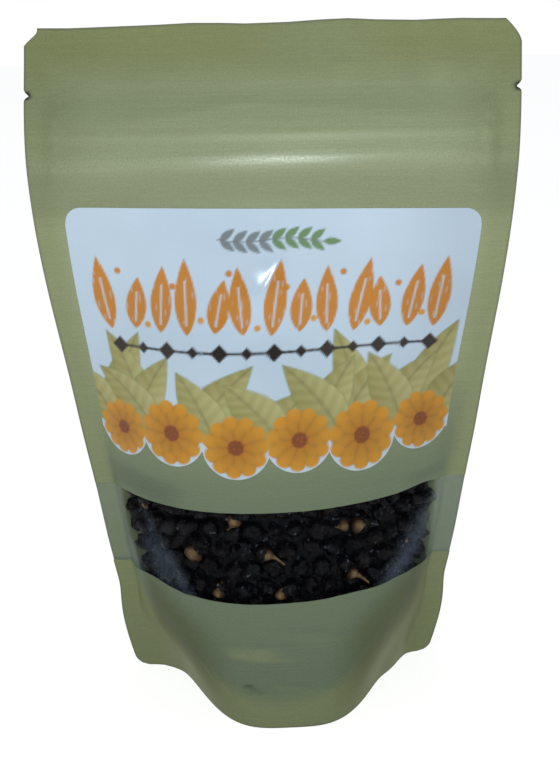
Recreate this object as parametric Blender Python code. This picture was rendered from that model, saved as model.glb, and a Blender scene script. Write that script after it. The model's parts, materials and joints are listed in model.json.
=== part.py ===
# Stand-up kraft pouch with a clear window band, a press-to-close zip, a label and dried fruit inside.
# Metres, +Z up. The origin is on the floor under the middle of the pouch; the front faces -Y.
# The pouch is described as a flat sheet: s runs across it from its centre line, t runs up it from
# its bottom edge, and the front and back sheets are bent to the shape that the filling gives them.

import math
import random

import bmesh
import bpy
import numpy as np
from mathutils import Matrix, Vector

# Lay-flat sizes
POUCH_WIDTH = 0.152
POUCH_HEIGHT = 0.241
SIDE_SEAL = 0.007
TOP_CORNER_CUT = 0.005
TOP_CORNER_SLOPE = 0.9
BOTTOM_CORNER_RADIUS = 0.0045
TEAR_NOTCH_HEIGHT = 0.2203
TEAR_NOTCH_DEPTH = 0.0018
TEAR_NOTCH_HALF = 0.0018
TOP_SEAL_HEIGHT = 0.229

# Sheet thickness and the clearance between sheets that lie on each other
WALL = 0.0006
GAP = 0.0003
LAYER = WALL + GAP

# Clear band across the front
WINDOW_BOTTOM = 0.0476
WINDOW_TOP = 0.0815

# Bottom gusset: a sheet folded up inside, sealed to both panels below a curved seal line
GUSSET_FOLD = 0.048
SEAL_AT_MIDDLE = 0.009
TAB_END = 0.056
TAB_RELEASE = 0.006
FOLD_RADIUS = 0.00045
FOLD_TURN = 0.0010
CREASE_POWER = 2.4
FOOT_PRESS = 0.0012
LEG_SLACK = 0.0005
LEG_BLEND = 0.004
LEG_POINTS = 5
WEB_POINTS = 9

# Press-to-close zip: two strips with two tracks
ZIP_BOTTOM = 0.1968
ZIP_TOP = 0.2113
ZIP_RAILS = (0.2007, 0.2075)
ZIP_HALF_LENGTH = 0.0665
ZIP_FACE_POINTS = 5
ZIP_PLACES = 7
ZIP_ROOM = 0.0015
ZIP_ROOM_END = 0.067
ZIP_ROOM_LOW = (ZIP_BOTTOM - 0.0035, ZIP_BOTTOM - 0.0008)
ZIP_ROOM_HIGH = (ZIP_TOP + 0.0006, ZIP_TOP + 0.0035)
ZIP_BASE_OUTER = 0.00135
ZIP_BASE_INNER = 0.00075
ZIP_TIP = 0.00045
RIB_HALF = 0.0006
LIP_INNER = 0.0009
LIP_OUTER = 0.0017
RIDGE_HEIGHT = 0.0005
RIDGE_HALF = 0.0016

# Label stuck on the front, turned a little clockwise
LABEL_TOP = 0.1849
LABEL_CENTRE = 0.0006
LABEL_HALF_WIDTH = 0.066
LABEL_TURN = 0.0176
LABEL_CORNER = 0.0055
LABEL_HEM = 0.0805
LABEL_STANDOFF = 0.0002
LABEL_COLUMNS = 45
LABEL_ROWS = 8
ROSETTES = (
    (-0.0545, 0.0790, 0.0098),
    (-0.0345, 0.0765, 0.0118),
    (-0.0110, 0.0800, 0.0105),
    (0.0095, 0.0775, 0.0112),
    (0.0320, 0.0785, 0.0122),
    (0.0545, 0.0765, 0.0105),
)

# Fruit
FRUIT_TOP = 0.088
FRUIT_MOUND = 0.007
CORE_DEPTH = 0.0050
CORE_SHARE = 0.62
CORE_HALF_SPAN = 0.0630
CORE_RINGS = 19
CORE_POINTS = 7
CORE_ABOVE_SEAL = 0.003
CORE_ABOVE_GUSSET = 0.0016
BERRY_RADIUS = 0.0049
BERRY_PITCH = 0.0123
BERRY_CLEARANCE = 0.0011
BERRY_SMALLEST = 0.0022
BERRY_SPAN = 0.0625
TOP_BERRY_SPAN = 0.052
BERRY_ROW_STEP = 0.88
LOWEST_BERRY = 0.014
ROOM_REACH = 0.012
FRUIT_SEED = 7

# The filled shape, as stations (height t, value)
DEPTH = ((0, 0.0382), (0.025, 0.0333), (0.055, 0.0280), (0.090, 0.0238), (0.125, 0.0180),
         (0.160, 0.0079), (0.188, 0.0016), (0.200, 0.0005), (0.229, 0.0003), (POUCH_HEIGHT, 0))
LEAN = ((0, -0.0004), (0.070, 0.0029), (0.140, -0.0018), (0.195, -0.0086), (POUCH_HEIGHT, 0.0043))
TWIST = ((0, 0.0045), (0.080, 0.0031), (0.160, 0.0025), (POUCH_HEIGHT, -0.0007))
FLATNESS = ((0, 3.5), (0.040, 2.6), (0.090, 2.2), (0.150, 2.0), (POUCH_HEIGHT, 1.7))
SHOULDER = ((0, 3.05), (0.040, 0.82), (0.090, 1.03), (0.150, 2.1), (POUCH_HEIGHT, 1.8))
SHIFT = ((0, -0.08), (0.040, 0), (0.090, 0.11), (0.150, 0.23), (POUCH_HEIGHT, 0))

FRONT, BACK = -1, 1
GRID_ROWS, GRID_COLS = 121, 121
COLUMNS = 19
COLUMN_CROWDING = 1.25
ROW_PITCH = 0.0115


def along(stations, t):
    # A smooth curve through the stations that doesn't swing past them
    heights, values = np.array(stations, float).T
    step = np.diff(heights)
    rise = np.diff(values) / step
    blended = (rise[:-1] * step[1:] + rise[1:] * step[:-1]) / (step[1:] + step[:-1])
    slope = np.concatenate([[rise[0]], np.where(rise[:-1] * rise[1:] > 0, blended, 0.0), [rise[-1]]])
    i = np.clip(np.searchsorted(heights, t, side="right") - 1, 0, len(heights) - 2)
    x = (t - heights[i]) / step[i]
    lower = (1 + 2 * x) * (1 - x) ** 2 * values[i] + x * (1 - x) ** 2 * step[i] * slope[i]
    upper = x * x * (3 - 2 * x) * values[i + 1] + x * x * (x - 1) * step[i] * slope[i + 1]
    return lower + upper


def ramp(value, start, end):
    # 0 before start and 1 after end, with a soft change between them
    x = np.clip((np.asarray(value, float) - start) / (end - start), 0, 1)
    return x * x * (3 - 2 * x)


def zip_relief(s, t):
    # How far the sheets stand off over the zip: room for the strips, and a ridge over each track
    across = 1 - ramp(np.abs(s), ZIP_ROOM_END, POUCH_WIDTH / 2 - SIDE_SEAL)
    room = ZIP_ROOM * ramp(t, *ZIP_ROOM_LOW) * (1 - ramp(t, *ZIP_ROOM_HIGH))
    ridges = sum(np.exp(-(((t - rail) / RIDGE_HALF) ** 2)) for rail in ZIP_RAILS)
    return across * (room + RIDGE_HEIGHT * ridges)


def bend_sheet():
    # Every level keeps its width along the sheet, so a deeper bulge pulls the side edges in,
    # and the sheet keeps its length up its side edges, so leaning or narrowing lowers what is above.
    t = np.linspace(0, POUCH_HEIGHT, GRID_ROWS)
    s = np.linspace(-POUCH_WIDTH / 2, POUCH_WIDTH / 2, GRID_COLS)
    soft = POUCH_WIDTH / 2 - SIDE_SEAL
    flatness, shoulder, shift = (along(k, t)[:, None] for k in (FLATNESS, SHOULDER, SHIFT))
    u = np.sin(np.linspace(-1, 1, GRID_COLS) * math.pi / 2)
    crown = np.clip(1 - np.abs(u + shift * (1 - u * u)) ** flatness, 0, 1) ** shoulder
    bulge = along(DEPTH, t)[:, None] * crown
    narrow, wide = np.full(GRID_ROWS, soft * 0.3), np.full(GRID_ROWS, soft)
    for _ in range(30):
        half = (narrow + wide) / 2
        pieces = np.hypot(half[:, None] * np.diff(u), np.diff(bulge, axis=1))
        too_long = pieces.sum(1) > 2 * soft
        narrow, wide = np.where(too_long, narrow, half), np.where(too_long, half, wide)
    arc = np.concatenate([np.zeros((GRID_ROWS, 1)), np.cumsum(pieces, 1)], 1)
    arc = arc * (2 * soft / arc[:, -1:]) - soft
    edge = half + SIDE_SEAL
    x, depth = np.zeros((GRID_ROWS, GRID_COLS)), np.zeros((GRID_ROWS, GRID_COLS))
    for j in range(GRID_ROWS):
        places = np.concatenate([[-POUCH_WIDTH / 2], arc[j], [POUCH_WIDTH / 2]])
        x[j] = np.interp(s, places, np.concatenate([[-edge[j]], half[j] * u, [edge[j]]]))
        depth[j] = np.interp(s, places, np.concatenate([[0], bulge[j], [0]]))
    lean = along(LEAN, t)
    drop = np.diff(t) ** 2 - np.diff(lean) ** 2 - np.diff(edge) ** 2
    z = np.concatenate([[0], np.cumsum(np.sqrt(drop))])
    middle = lean[:, None] + along(TWIST, t)[:, None] * x / edge[:, None]
    # Below the gusset's fold the side seals also hold the gusset's two legs
    tab = 1.5 * WALL * np.clip((TAB_END - t) / TAB_RELEASE, 0, 1)[:, None]
    depth = depth + (GAP + WALL) / 2 + tab
    return {"x": x, "depth": depth, "middle": middle, "z": np.repeat(z[:, None], GRID_COLS, 1)}


def add_normals(sheet):
    for side in (FRONT, BACK):
        t = np.linspace(0, POUCH_HEIGHT, GRID_ROWS)[:, None]
        s = np.linspace(-POUCH_WIDTH / 2, POUCH_WIDTH / 2, GRID_COLS)[None, :]
        y = sheet["middle"] + side * (sheet["depth"] + zip_relief(s, t))
        points = np.stack([sheet["x"], y, sheet["z"]], 2)
        inward = side * np.cross(np.gradient(points, axis=1), np.gradient(points, axis=0))
        sheet[side] = inward / np.linalg.norm(inward, axis=2, keepdims=True)
    return sheet


SHEET = add_normals(bend_sheet())


def read_grid(grid, s, t):
    # The value of a grid at any place on the sheet
    row = np.clip(t / POUCH_HEIGHT * (GRID_ROWS - 1), 0, GRID_ROWS - 1.000001)
    col = np.clip((s / POUCH_WIDTH + 0.5) * (GRID_COLS - 1), 0, GRID_COLS - 1.000001)
    i, j = row.astype(int), col.astype(int)
    a, b = row - i, col - j
    if grid.ndim == 3:
        a, b = a[..., None], b[..., None]
    near = (1 - b) * grid[i, j] + b * grid[i, j + 1]
    far = (1 - b) * grid[i + 1, j] + b * grid[i + 1, j + 1]
    return (1 - a) * near + a * far


def panel(s, t, side, inward=0.0):
    # Points of the front or back sheet's middle surface, moved inward by a distance
    s, t = np.broadcast_arrays(np.asarray(s, float), np.asarray(t, float))
    depth = read_grid(SHEET["depth"], s, t) + zip_relief(s, t)
    y = read_grid(SHEET["middle"], s, t) + side * depth
    points = np.stack([read_grid(SHEET["x"], s, t), y, read_grid(SHEET["z"], s, t)], -1)
    normal = read_grid(SHEET[side], s, t)
    normal = normal / np.linalg.norm(normal, axis=-1, keepdims=True)
    return points + np.asarray(inward, float)[..., None] * normal


def between(s, t, y):
    # Points at a distance y behind the plane where the front and back sheets meet
    s, t, y = np.broadcast_arrays(np.asarray(s, float), np.asarray(t, float), np.asarray(y, float))
    middle = read_grid(SHEET["middle"], s, t)
    return np.stack([read_grid(SHEET["x"], s, t), middle + y, read_grid(SHEET["z"], s, t)], -1)


def make_material(name, color, roughness, alpha=1.0, transmission=0.0):
    material = bpy.data.materials.new(name)
    material.use_nodes = True
    shader = material.node_tree.nodes["Principled BSDF"]
    shader.inputs["Base Color"].default_value = (*color, 1)
    shader.inputs["Roughness"].default_value = roughness
    shader.inputs["Alpha"].default_value = alpha
    shader.inputs["Transmission Weight"].default_value = transmission
    return material


def add_object(name, bm, material, sharp_angle=math.radians(40)):
    bmesh.ops.recalc_face_normals(bm, faces=bm.faces)
    mesh = bpy.data.meshes.new(name)
    bm.to_mesh(mesh)
    bm.free()
    mesh.shade_smooth()
    mesh.set_sharp_from_angle(angle=sharp_angle)
    mesh.materials.append(material)
    made = bpy.data.objects.new(name, mesh)
    made.parent = POUCH
    bpy.context.scene.collection.objects.link(made)
    return made


def skin_pair(outer, inner):
    # A closed body between two grids of points, split into triangles alike on both faces
    rows, cols = outer.shape[:2]
    bm = bmesh.new()
    layers = []
    for points in (outer, inner):
        layers.append([[bm.verts.new(points[i, j]) for j in range(cols)] for i in range(rows)])
    for layer in layers:
        for i in range(rows - 1):
            for j in range(cols - 1):
                a, b, c, d = layer[i][j], layer[i][j + 1], layer[i + 1][j + 1], layer[i + 1][j]
                halves = ((a, b, c), (a, c, d)) if (i + j) % 2 == 0 else ((a, b, d), (b, c, d))
                for corners in halves:
                    bm.faces.new(corners)
    top, low = layers
    rim = [(0, j) for j in range(cols - 1)] + [(i, cols - 1) for i in range(rows - 1)]
    rim += [(rows - 1, j) for j in range(cols - 1, 0, -1)] + [(i, 0) for i in range(rows - 1, 0, -1)]
    for (i, j), (k, m) in zip(rim, rim[1:] + rim[:1]):
        bm.faces.new((top[i][j], top[k][m], low[k][m]))
        bm.faces.new((top[i][j], low[k][m], low[i][j]))
    return bm


def half_width(t):
    # Half the sheet's width at a height: cut top corners, rounded bottom corners, tear notches
    half = np.full(np.shape(t), POUCH_WIDTH / 2)
    half = half - np.clip(t - (POUCH_HEIGHT - TOP_CORNER_CUT), 0, None) * TOP_CORNER_SLOPE
    below = np.clip(BOTTOM_CORNER_RADIUS - t, 0, None)
    half = half - (BOTTOM_CORNER_RADIUS - np.sqrt(BOTTOM_CORNER_RADIUS ** 2 - below ** 2))
    notch = np.clip(1 - np.abs(t - TEAR_NOTCH_HEIGHT) / TEAR_NOTCH_HALF, 0, 1)
    return half - TEAR_NOTCH_DEPTH * notch


def crowded(reach, count):
    # Places across that are closer together towards the sides, where the sheets curve most
    turns = np.linspace(-COLUMN_CROWDING, COLUMN_CROWDING, count)
    return reach * np.sin(turns) / math.sin(COLUMN_CROWDING)


def panel_columns(count):
    # Places across the sheet: its edges, the inner side of each side seal, and the columns between them
    seal = POUCH_WIDTH / 2 - SIDE_SEAL
    return np.array([-POUCH_WIDTH / 2, -seal, *crowded(ZIP_ROOM_END, count), seal, POUCH_WIDTH / 2])


def panel_rows(bottom, top):
    # Heights of the rows: even up the bulge, closer over the zip, the notch, the seal and the corners
    special = [BOTTOM_CORNER_RADIUS * k for k in (0.25, 0.6, 1)]
    special += [*ZIP_ROOM_LOW, ZIP_RAILS[0], sum(ZIP_RAILS) / 2, ZIP_RAILS[1], *ZIP_ROOM_HIGH]
    special += [TEAR_NOTCH_HEIGHT + k * TEAR_NOTCH_HALF for k in (-1, 0, 1)]
    special += [TOP_SEAL_HEIGHT, POUCH_HEIGHT - TOP_CORNER_CUT]
    even = np.arange(ROW_PITCH, ZIP_BOTTOM - ROW_PITCH / 2, ROW_PITCH)
    rows = [t for t in special if bottom < t < top]
    rows += [t for t in even if bottom + ROW_PITCH / 3 < t < top - ROW_PITCH / 3]
    return np.array([bottom, *sorted(rows), top])


def make_panel(name, side, bottom, top, columns, material):
    t = np.repeat(panel_rows(bottom, top)[:, None], len(columns), 1)
    limit = half_width(t)
    s = np.clip(columns[None, :], -limit, limit)
    outer = panel(s, t, side, -WALL / 2)
    inner = panel(s, t, side, WALL / 2)
    if bottom == 0:
        outer[0, :, 2] = 0
        inner[0, :, 2] = 0
    return add_object(name, skin_pair(outer, inner), material)


def seal_line(s):
    # Height of the curved seal between the gusset and the panels
    reach = np.clip(np.abs(s) / (POUCH_WIDTH / 2 - SIDE_SEAL), 0, 1)
    return SEAL_AT_MIDDLE + (GUSSET_FOLD - SEAL_AT_MIDDLE) * reach ** 2


def leg_offset(s):
    # The gusset's distance behind a panel: pressed close in the side seals, a little slack in the bulge
    seal = POUCH_WIDTH / 2 - SIDE_SEAL
    return LAYER + LEG_SLACK * (1 - float(ramp(abs(s), seal - LEG_BLEND, seal)))


def web_height(s):
    # Height of the gusset's crease: on the floor at the middle, up at the fold in the side seals
    reach = min(abs(s) / (POUCH_WIDTH / 2 - SIDE_SEAL), 1.0)
    at_side = float(between(s, GUSSET_FOLD, 0.0)[2]) + FOLD_RADIUS
    return at_side * reach ** CREASE_POWER - FOOT_PRESS * (1 - reach)


def web_curve(s, turns):
    # The gusset from the front seal line to the back one, for turns from -1 to 1
    front = panel(s, seal_line(s), FRONT, leg_offset(s))
    back = panel(s, seal_line(s), BACK, leg_offset(s))
    crease = web_height(s)
    points = []
    for v in turns:
        point = front + (back - front) * (v + 1) / 2
        point[2] = crease + (point[2] - crease) * abs(v) ** 2
        points.append(point)
    return np.array(points)


def gusset_column(s):
    # The gusset's section at one place across: up the front panel, over the web, down the back panel
    corner = BOTTOM_CORNER_RADIUS
    over = max(abs(s) - (POUCH_WIDTH / 2 - corner), 0)
    foot = corner - math.sqrt(max(corner ** 2 - over ** 2, 0)) + GAP
    top = float(seal_line(s))
    offset = leg_offset(s)
    leg = np.linspace(foot, top - FOLD_TURN, LEG_POINTS)
    front = panel(s, leg, FRONT, offset)
    back = panel(s, leg[::-1], BACK, offset)
    if abs(s) < POUCH_WIDTH / 2 - SIDE_SEAL:
        ends = [panel(s, top, side, offset) for side in (FRONT, BACK)]
        start = 1 - FOLD_TURN * 2 / (ends[1][1] - ends[0][1])
        web = web_curve(s, np.linspace(-start, start, WEB_POINTS))
        turns = [(leg_end + web_end) / 4 + end / 2
                 for leg_end, web_end, end in zip((front[-1], back[0]), (web[0], web[-1]), ends)]
        return np.vstack([front, turns[0], web, turns[1], back])
    # In the side seal the two legs lie together and the crease is a tight round fold
    angles = np.linspace(0, math.pi, WEB_POINTS + 2)
    fold = np.stack([0 * angles, -np.cos(angles) * FOLD_RADIUS, np.sin(angles) * FOLD_RADIUS], 1)
    return np.vstack([front, between(s, top, 0.0) + fold, back])


def make_gusset(panel_places, material):
    corners = [POUCH_WIDTH / 2 - BOTTOM_CORNER_RADIUS * k for k in (0.35, 0.9)]
    columns = sorted([*panel_places, *corners, *(-s for s in corners)])
    middle = np.array([gusset_column(s) for s in columns])
    normal = np.cross(np.gradient(middle, axis=0), np.gradient(middle, axis=1))
    normal /= np.linalg.norm(normal, axis=2, keepdims=True)
    upper = middle + normal * WALL / 2
    lower = middle - normal * WALL / 2
    # The middle of the web is pressed flat on the floor
    lower[..., 2] = np.maximum(lower[..., 2], 0)
    upper[..., 2] = np.maximum(upper[..., 2], WALL)
    return add_object("bottom_gusset", skin_pair(upper, lower), material)


def make_zip_strip(name, outline, material):
    # A strip of one section, run across the pouch
    places = np.linspace(-ZIP_HALF_LENGTH, ZIP_HALF_LENGTH, ZIP_PLACES)
    heights, depths = np.array(outline).T
    bm = bmesh.new()
    rings = []
    for s in places:
        rings.append([bm.verts.new(p) for p in between(s, heights, depths)])
    count = len(outline)
    for ring, following in zip(rings, rings[1:]):
        for i in range(count):
            j = (i + 1) % count
            bm.faces.new((ring[i], ring[j], following[j]))
            bm.faces.new((ring[i], following[j], following[i]))
    caps = [bm.faces.new(rings[0]), bm.faces.new(rings[-1])]
    bm.normal_update()
    bmesh.ops.triangulate(bm, faces=caps)
    return add_object(name, bm, material)


def groove_outline():
    # The front strip: two lips beside each track
    outline = [(t, -ZIP_BASE_OUTER) for t in np.linspace(ZIP_BOTTOM, ZIP_TOP, ZIP_FACE_POINTS)]
    outline.append((ZIP_TOP, -ZIP_BASE_INNER))
    for rail in reversed(ZIP_RAILS):
        for high, low in ((LIP_OUTER, LIP_INNER), (-LIP_INNER, -LIP_OUTER)):
            outline += [(rail + high, -ZIP_BASE_INNER), (rail + high, ZIP_TIP)]
            outline += [(rail + low, ZIP_TIP), (rail + low, -ZIP_BASE_INNER)]
    return outline + [(ZIP_BOTTOM, -ZIP_BASE_INNER)]


def rib_outline():
    # The back strip: one rib in each track
    outline = [(t, ZIP_BASE_OUTER) for t in np.linspace(ZIP_TOP, ZIP_BOTTOM, ZIP_FACE_POINTS)]
    outline.append((ZIP_BOTTOM, ZIP_BASE_INNER))
    for rail in ZIP_RAILS:
        outline += [(rail - RIB_HALF, ZIP_BASE_INNER), (rail - RIB_HALF, -ZIP_TIP)]
        outline += [(rail + RIB_HALF, -ZIP_TIP), (rail + RIB_HALF, ZIP_BASE_INNER)]
    return outline + [(ZIP_TOP, ZIP_BASE_INNER)]


def label_hem(p):
    # How far below the label's top its lower edge lies: a straight hem with round rosettes over it
    hem = np.full(np.shape(p), LABEL_HEM)
    for centre, drop, radius in ROSETTES:
        inside = np.clip(radius ** 2 - (p - centre) ** 2, 0, None)
        hem = np.where(inside > 0, np.maximum(hem, drop + np.sqrt(inside)), hem)
    return hem


def make_label(material):
    p = np.linspace(-LABEL_HALF_WIDTH, LABEL_HALF_WIDTH, LABEL_COLUMNS)
    corner = np.clip(np.abs(p) - (LABEL_HALF_WIDTH - LABEL_CORNER), 0, None)
    upper = LABEL_CORNER - np.sqrt(np.clip(LABEL_CORNER ** 2 - corner ** 2, 0, None))
    share = np.linspace(0, 1, LABEL_ROWS)[:, None]
    down = upper[None, :] + (label_hem(p) - upper)[None, :] * share
    p = np.repeat(p[None, :], len(share), 0)
    s = LABEL_CENTRE + p * math.cos(LABEL_TURN) - down * math.sin(LABEL_TURN)
    t = LABEL_TOP - down * math.cos(LABEL_TURN) - p * math.sin(LABEL_TURN)
    middle = LAYER + LABEL_STANDOFF
    outer = panel(s, t, FRONT, -(middle + WALL / 2))
    inner = panel(s, t, FRONT, -(middle - WALL / 2))
    return add_object("label", skin_pair(outer, inner), material)


def mound(s):
    # How far the heap's top stands above its edges
    return FRUIT_MOUND * max(1 - (s / CORE_HALF_SPAN) ** 2, 0.1)


def core_ring(s):
    # The heap's section at one place across: down the front, over the gusset, up the back, over the top
    low = float(seal_line(s)) + CORE_ABOVE_SEAL
    heights = np.linspace(FRUIT_TOP, low, CORE_POINTS)
    room = read_grid(SHEET["depth"], np.full(CORE_POINTS, s), heights)
    inward = np.minimum(CORE_DEPTH, room * CORE_SHARE)
    front = panel(s, heights, FRONT, inward)
    back = panel(s, heights[::-1], BACK, inward[::-1])
    reach = (back[0][1] - front[-1][1]) / 2
    full = (panel(s, low, BACK)[1] - panel(s, low, FRONT)[1]) / 2
    floor = web_curve(s, np.linspace(-1, 1, CORE_POINTS) * (reach - FOLD_TURN) / full)
    floor[:, 2] = np.maximum(floor[:, 2], WALL) + CORE_ABOVE_GUSSET
    share = np.linspace(1, -1, CORE_POINTS)[1:-1, None]
    top = (back[-1] * (1 + share) + front[0] * (1 - share)) / 2
    top[:, 2:] += mound(s) * (1 - share ** 2)
    return np.vstack([front, floor, back, top])


def make_core(material):
    bm = bmesh.new()
    rings = [[bm.verts.new(p) for p in core_ring(s)] for s in crowded(CORE_HALF_SPAN, CORE_RINGS)]
    count = len(rings[0])
    for ring, following in zip(rings, rings[1:]):
        for i in range(count):
            j = (i + 1) % count
            bm.faces.new((ring[i], ring[j], following[j]))
            bm.faces.new((ring[i], following[j], following[i]))
    for ring in (rings[0], rings[-1]):
        hub = bm.verts.new(sum((v.co for v in ring), Vector()) / count)
        for i in range(count):
            bm.faces.new((ring[i], ring[(i + 1) % count], hub))
    return add_object("dried_fruit", bm, material)


def room_round(centre, s, t):
    # Distance from a point inside to the sheets near it
    steps = np.linspace(-ROOM_REACH, ROOM_REACH, 13)
    near_s = np.clip(s + steps, -POUCH_WIDTH / 2, POUCH_WIDTH / 2)
    near_t = np.clip(t + steps, 0, POUCH_HEIGHT)
    sheets = [panel(near_s[None, :], near_t[:, None], side) for side in (FRONT, BACK)]
    return min(float(np.linalg.norm(sheet - centre, axis=2).min()) for sheet in sheets)


def berry_places():
    # Bricked rows over the front and back of the heap, single rows where it is thin, and rows on its top
    places = []
    rows = np.arange(LOWEST_BERRY, FRUIT_TOP + BERRY_RADIUS, BERRY_PITCH * BERRY_ROW_STEP)
    for i, t in enumerate(rows):
        for s in np.arange(-BERRY_SPAN, BERRY_SPAN, BERRY_PITCH) + (i % 2) * BERRY_PITCH / 2:
            if abs(s) > BERRY_SPAN or t - BERRY_RADIUS < seal_line(s) + BERRY_CLEARANCE * 2:
                continue
            depth = float(read_grid(SHEET["depth"], np.array(s), np.array(t)))
            if depth < BERRY_RADIUS * 1.6:
                centres = [between(s, t, 0.0)]
            else:
                centres = [panel(s, t, side, BERRY_CLEARANCE + BERRY_RADIUS) for side in (FRONT, BACK)]
            for centre in centres:
                radius = min(BERRY_RADIUS, room_round(centre, s, t) - BERRY_CLEARANCE)
                if radius > BERRY_SMALLEST:
                    places.append((centre, radius))
    for s in np.arange(-TOP_BERRY_SPAN, TOP_BERRY_SPAN, BERRY_PITCH):
        ring = core_ring(s)
        front, back = ring[0], ring[CORE_POINTS * 3 - 1]
        steps = max(int((back[1] - front[1]) / BERRY_PITCH), 1)
        for k in range(steps):
            share = (k + 0.5) / steps
            rise = mound(s) * 4 * share * (1 - share) + BERRY_RADIUS / 5
            places.append((front + (back - front) * share + np.array([0, 0, rise]), BERRY_RADIUS))
    return places


def make_berry(centre, radius, draw):
    # A small dried berry: a lump with dented faces
    bm = bmesh.new()
    bmesh.ops.create_icosphere(bm, subdivisions=1, radius=radius)
    stretch = Vector((draw.uniform(0.86, 1.04), draw.uniform(0.86, 1.04), draw.uniform(0.8, 0.98)))
    for v in bm.verts:
        v.co = Vector((v.co.x * stretch.x, v.co.y * stretch.y, v.co.z * stretch.z)) * draw.uniform(0.88, 1.0)
    turn = Matrix.Rotation(draw.uniform(0, math.tau), 4, "Z") @ Matrix.Rotation(draw.uniform(0, math.pi), 4, "X")
    bmesh.ops.transform(bm, matrix=Matrix.Translation(Vector(centre)) @ turn, verts=bm.verts)
    mesh = bpy.data.meshes.new("berry")
    bm.to_mesh(mesh)
    bm.free()
    return bpy.data.objects.new("berry", mesh)


def make_fruit(material):
    # The heap: a core with berries standing out of it all round, joined into one body
    draw = random.Random(FRUIT_SEED)
    fruit = make_core(material)
    berries = bpy.data.collections.new("berries")
    bpy.context.scene.collection.children.link(berries)
    for centre, radius in berry_places():
        berries.objects.link(make_berry(centre, radius, draw))
    union = fruit.modifiers.new("berries", "BOOLEAN")
    union.operation = "UNION"
    union.operand_type = "COLLECTION"
    union.collection = berries
    union.solver = "MANIFOLD"
    bpy.context.view_layer.update()
    joined = bpy.data.meshes.new_from_object(fruit.evaluated_get(bpy.context.evaluated_depsgraph_get()))
    fruit.modifiers.remove(union)
    fruit.data = joined
    for berry in list(berries.objects):
        bpy.data.objects.remove(berry)
    bpy.data.collections.remove(berries)
    return fruit


for old in list(bpy.data.objects):
    bpy.data.objects.remove(old)
POUCH = bpy.data.objects.new("pouch", None)
bpy.context.scene.collection.objects.link(POUCH)

kraft_front = make_material("kraft_front", (0.27, 0.31, 0.19), 0.55)
kraft_back = make_material("kraft_back", (0.25, 0.29, 0.18), 0.55)
kraft_foot = make_material("kraft_foot", (0.20, 0.23, 0.13), 0.6)
kraft_base = make_material("kraft_base", (0.19, 0.22, 0.13), 0.6)
clear_film = make_material("clear_film", (0.80, 0.86, 0.88), 0.12, 0.3, 0.6)
label_paper = make_material("label_paper", (0.62, 0.75, 0.82), 0.3)
zip_plastic_front = make_material("zip_plastic_front", (0.75, 0.77, 0.72), 0.35)
zip_plastic_back = make_material("zip_plastic_back", (0.75, 0.77, 0.72), 0.35)
dark_fruit = make_material("dark_fruit", (0.012, 0.010, 0.011), 0.45)

wide_columns = panel_columns(COLUMNS)
make_panel("front_panel_upper", FRONT, WINDOW_TOP, POUCH_HEIGHT, wide_columns, kraft_front)
make_panel("window_film", FRONT, WINDOW_BOTTOM, WINDOW_TOP - GAP, wide_columns, clear_film)
make_panel("front_panel_lower", FRONT, 0, WINDOW_BOTTOM - GAP, wide_columns, kraft_foot)
make_panel("back_panel", BACK, 0, POUCH_HEIGHT, wide_columns, kraft_back)
make_gusset(wide_columns, kraft_base)
make_zip_strip("zip_strip_front", groove_outline(), zip_plastic_front)
make_zip_strip("zip_strip_back", rib_outline(), zip_plastic_back)
make_label(label_paper)
make_fruit(dark_fruit)
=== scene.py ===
import json
import math
import random

import bmesh
import bpy
import numpy as np
from mathutils import Matrix, Vector

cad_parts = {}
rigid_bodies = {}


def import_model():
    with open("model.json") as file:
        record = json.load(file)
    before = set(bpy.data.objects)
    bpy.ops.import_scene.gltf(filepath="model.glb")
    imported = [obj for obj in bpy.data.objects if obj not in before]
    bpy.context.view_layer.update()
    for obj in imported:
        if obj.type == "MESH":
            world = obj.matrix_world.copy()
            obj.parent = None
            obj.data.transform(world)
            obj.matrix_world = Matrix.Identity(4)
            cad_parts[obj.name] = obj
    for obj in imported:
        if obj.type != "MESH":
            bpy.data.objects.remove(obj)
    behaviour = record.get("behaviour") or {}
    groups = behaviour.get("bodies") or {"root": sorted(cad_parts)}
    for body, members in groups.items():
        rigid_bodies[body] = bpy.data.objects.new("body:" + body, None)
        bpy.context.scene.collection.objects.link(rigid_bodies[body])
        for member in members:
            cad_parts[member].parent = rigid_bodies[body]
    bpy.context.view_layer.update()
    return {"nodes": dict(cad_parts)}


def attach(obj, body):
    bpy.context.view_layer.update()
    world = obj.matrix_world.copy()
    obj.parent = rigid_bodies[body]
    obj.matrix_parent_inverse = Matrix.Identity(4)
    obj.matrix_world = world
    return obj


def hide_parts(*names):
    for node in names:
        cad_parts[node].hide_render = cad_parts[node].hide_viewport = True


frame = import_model()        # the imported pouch, in metres
print("frame loaded")

front, back = -1, 1      # the pouch's two sheets


# Shader nodes

def addNode(tree, kind, output, inputs=None, **settings):
    # Makes a node, sets or links its inputs, and gives one of its outputs
    made = tree.nodes.new("ShaderNode" + kind)
    for key, value in settings.items():
        setattr(made, key, value)
    for key, value in (inputs or {}).items():
        if isinstance(value, bpy.types.NodeSocket):
            tree.links.new(value, made.inputs[key])
        else:
            made.inputs[key].default_value = value
    return made.outputs[output]


def newMaterial(name, sockets):
    material = bpy.data.materials.new(name)
    material.use_nodes = True
    shader = material.node_tree.nodes["Principled BSDF"]
    for key, value in sockets.items():
        shader.inputs[key].default_value = value
    return material, material.node_tree, shader


def feed(tree, shader, sockets):
    for key, value in sockets.items():
        tree.links.new(value, shader.inputs[key])


def attribute(tree, name):
    return addNode(tree, "Attribute", "Fac", attribute_name=name)


def sheetMap(tree):
    return addNode(tree, "UVMap", "UV", uv_map="sheet")


def objectPlace(tree):
    return addNode(tree, "TexCoord", "Object")


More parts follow.
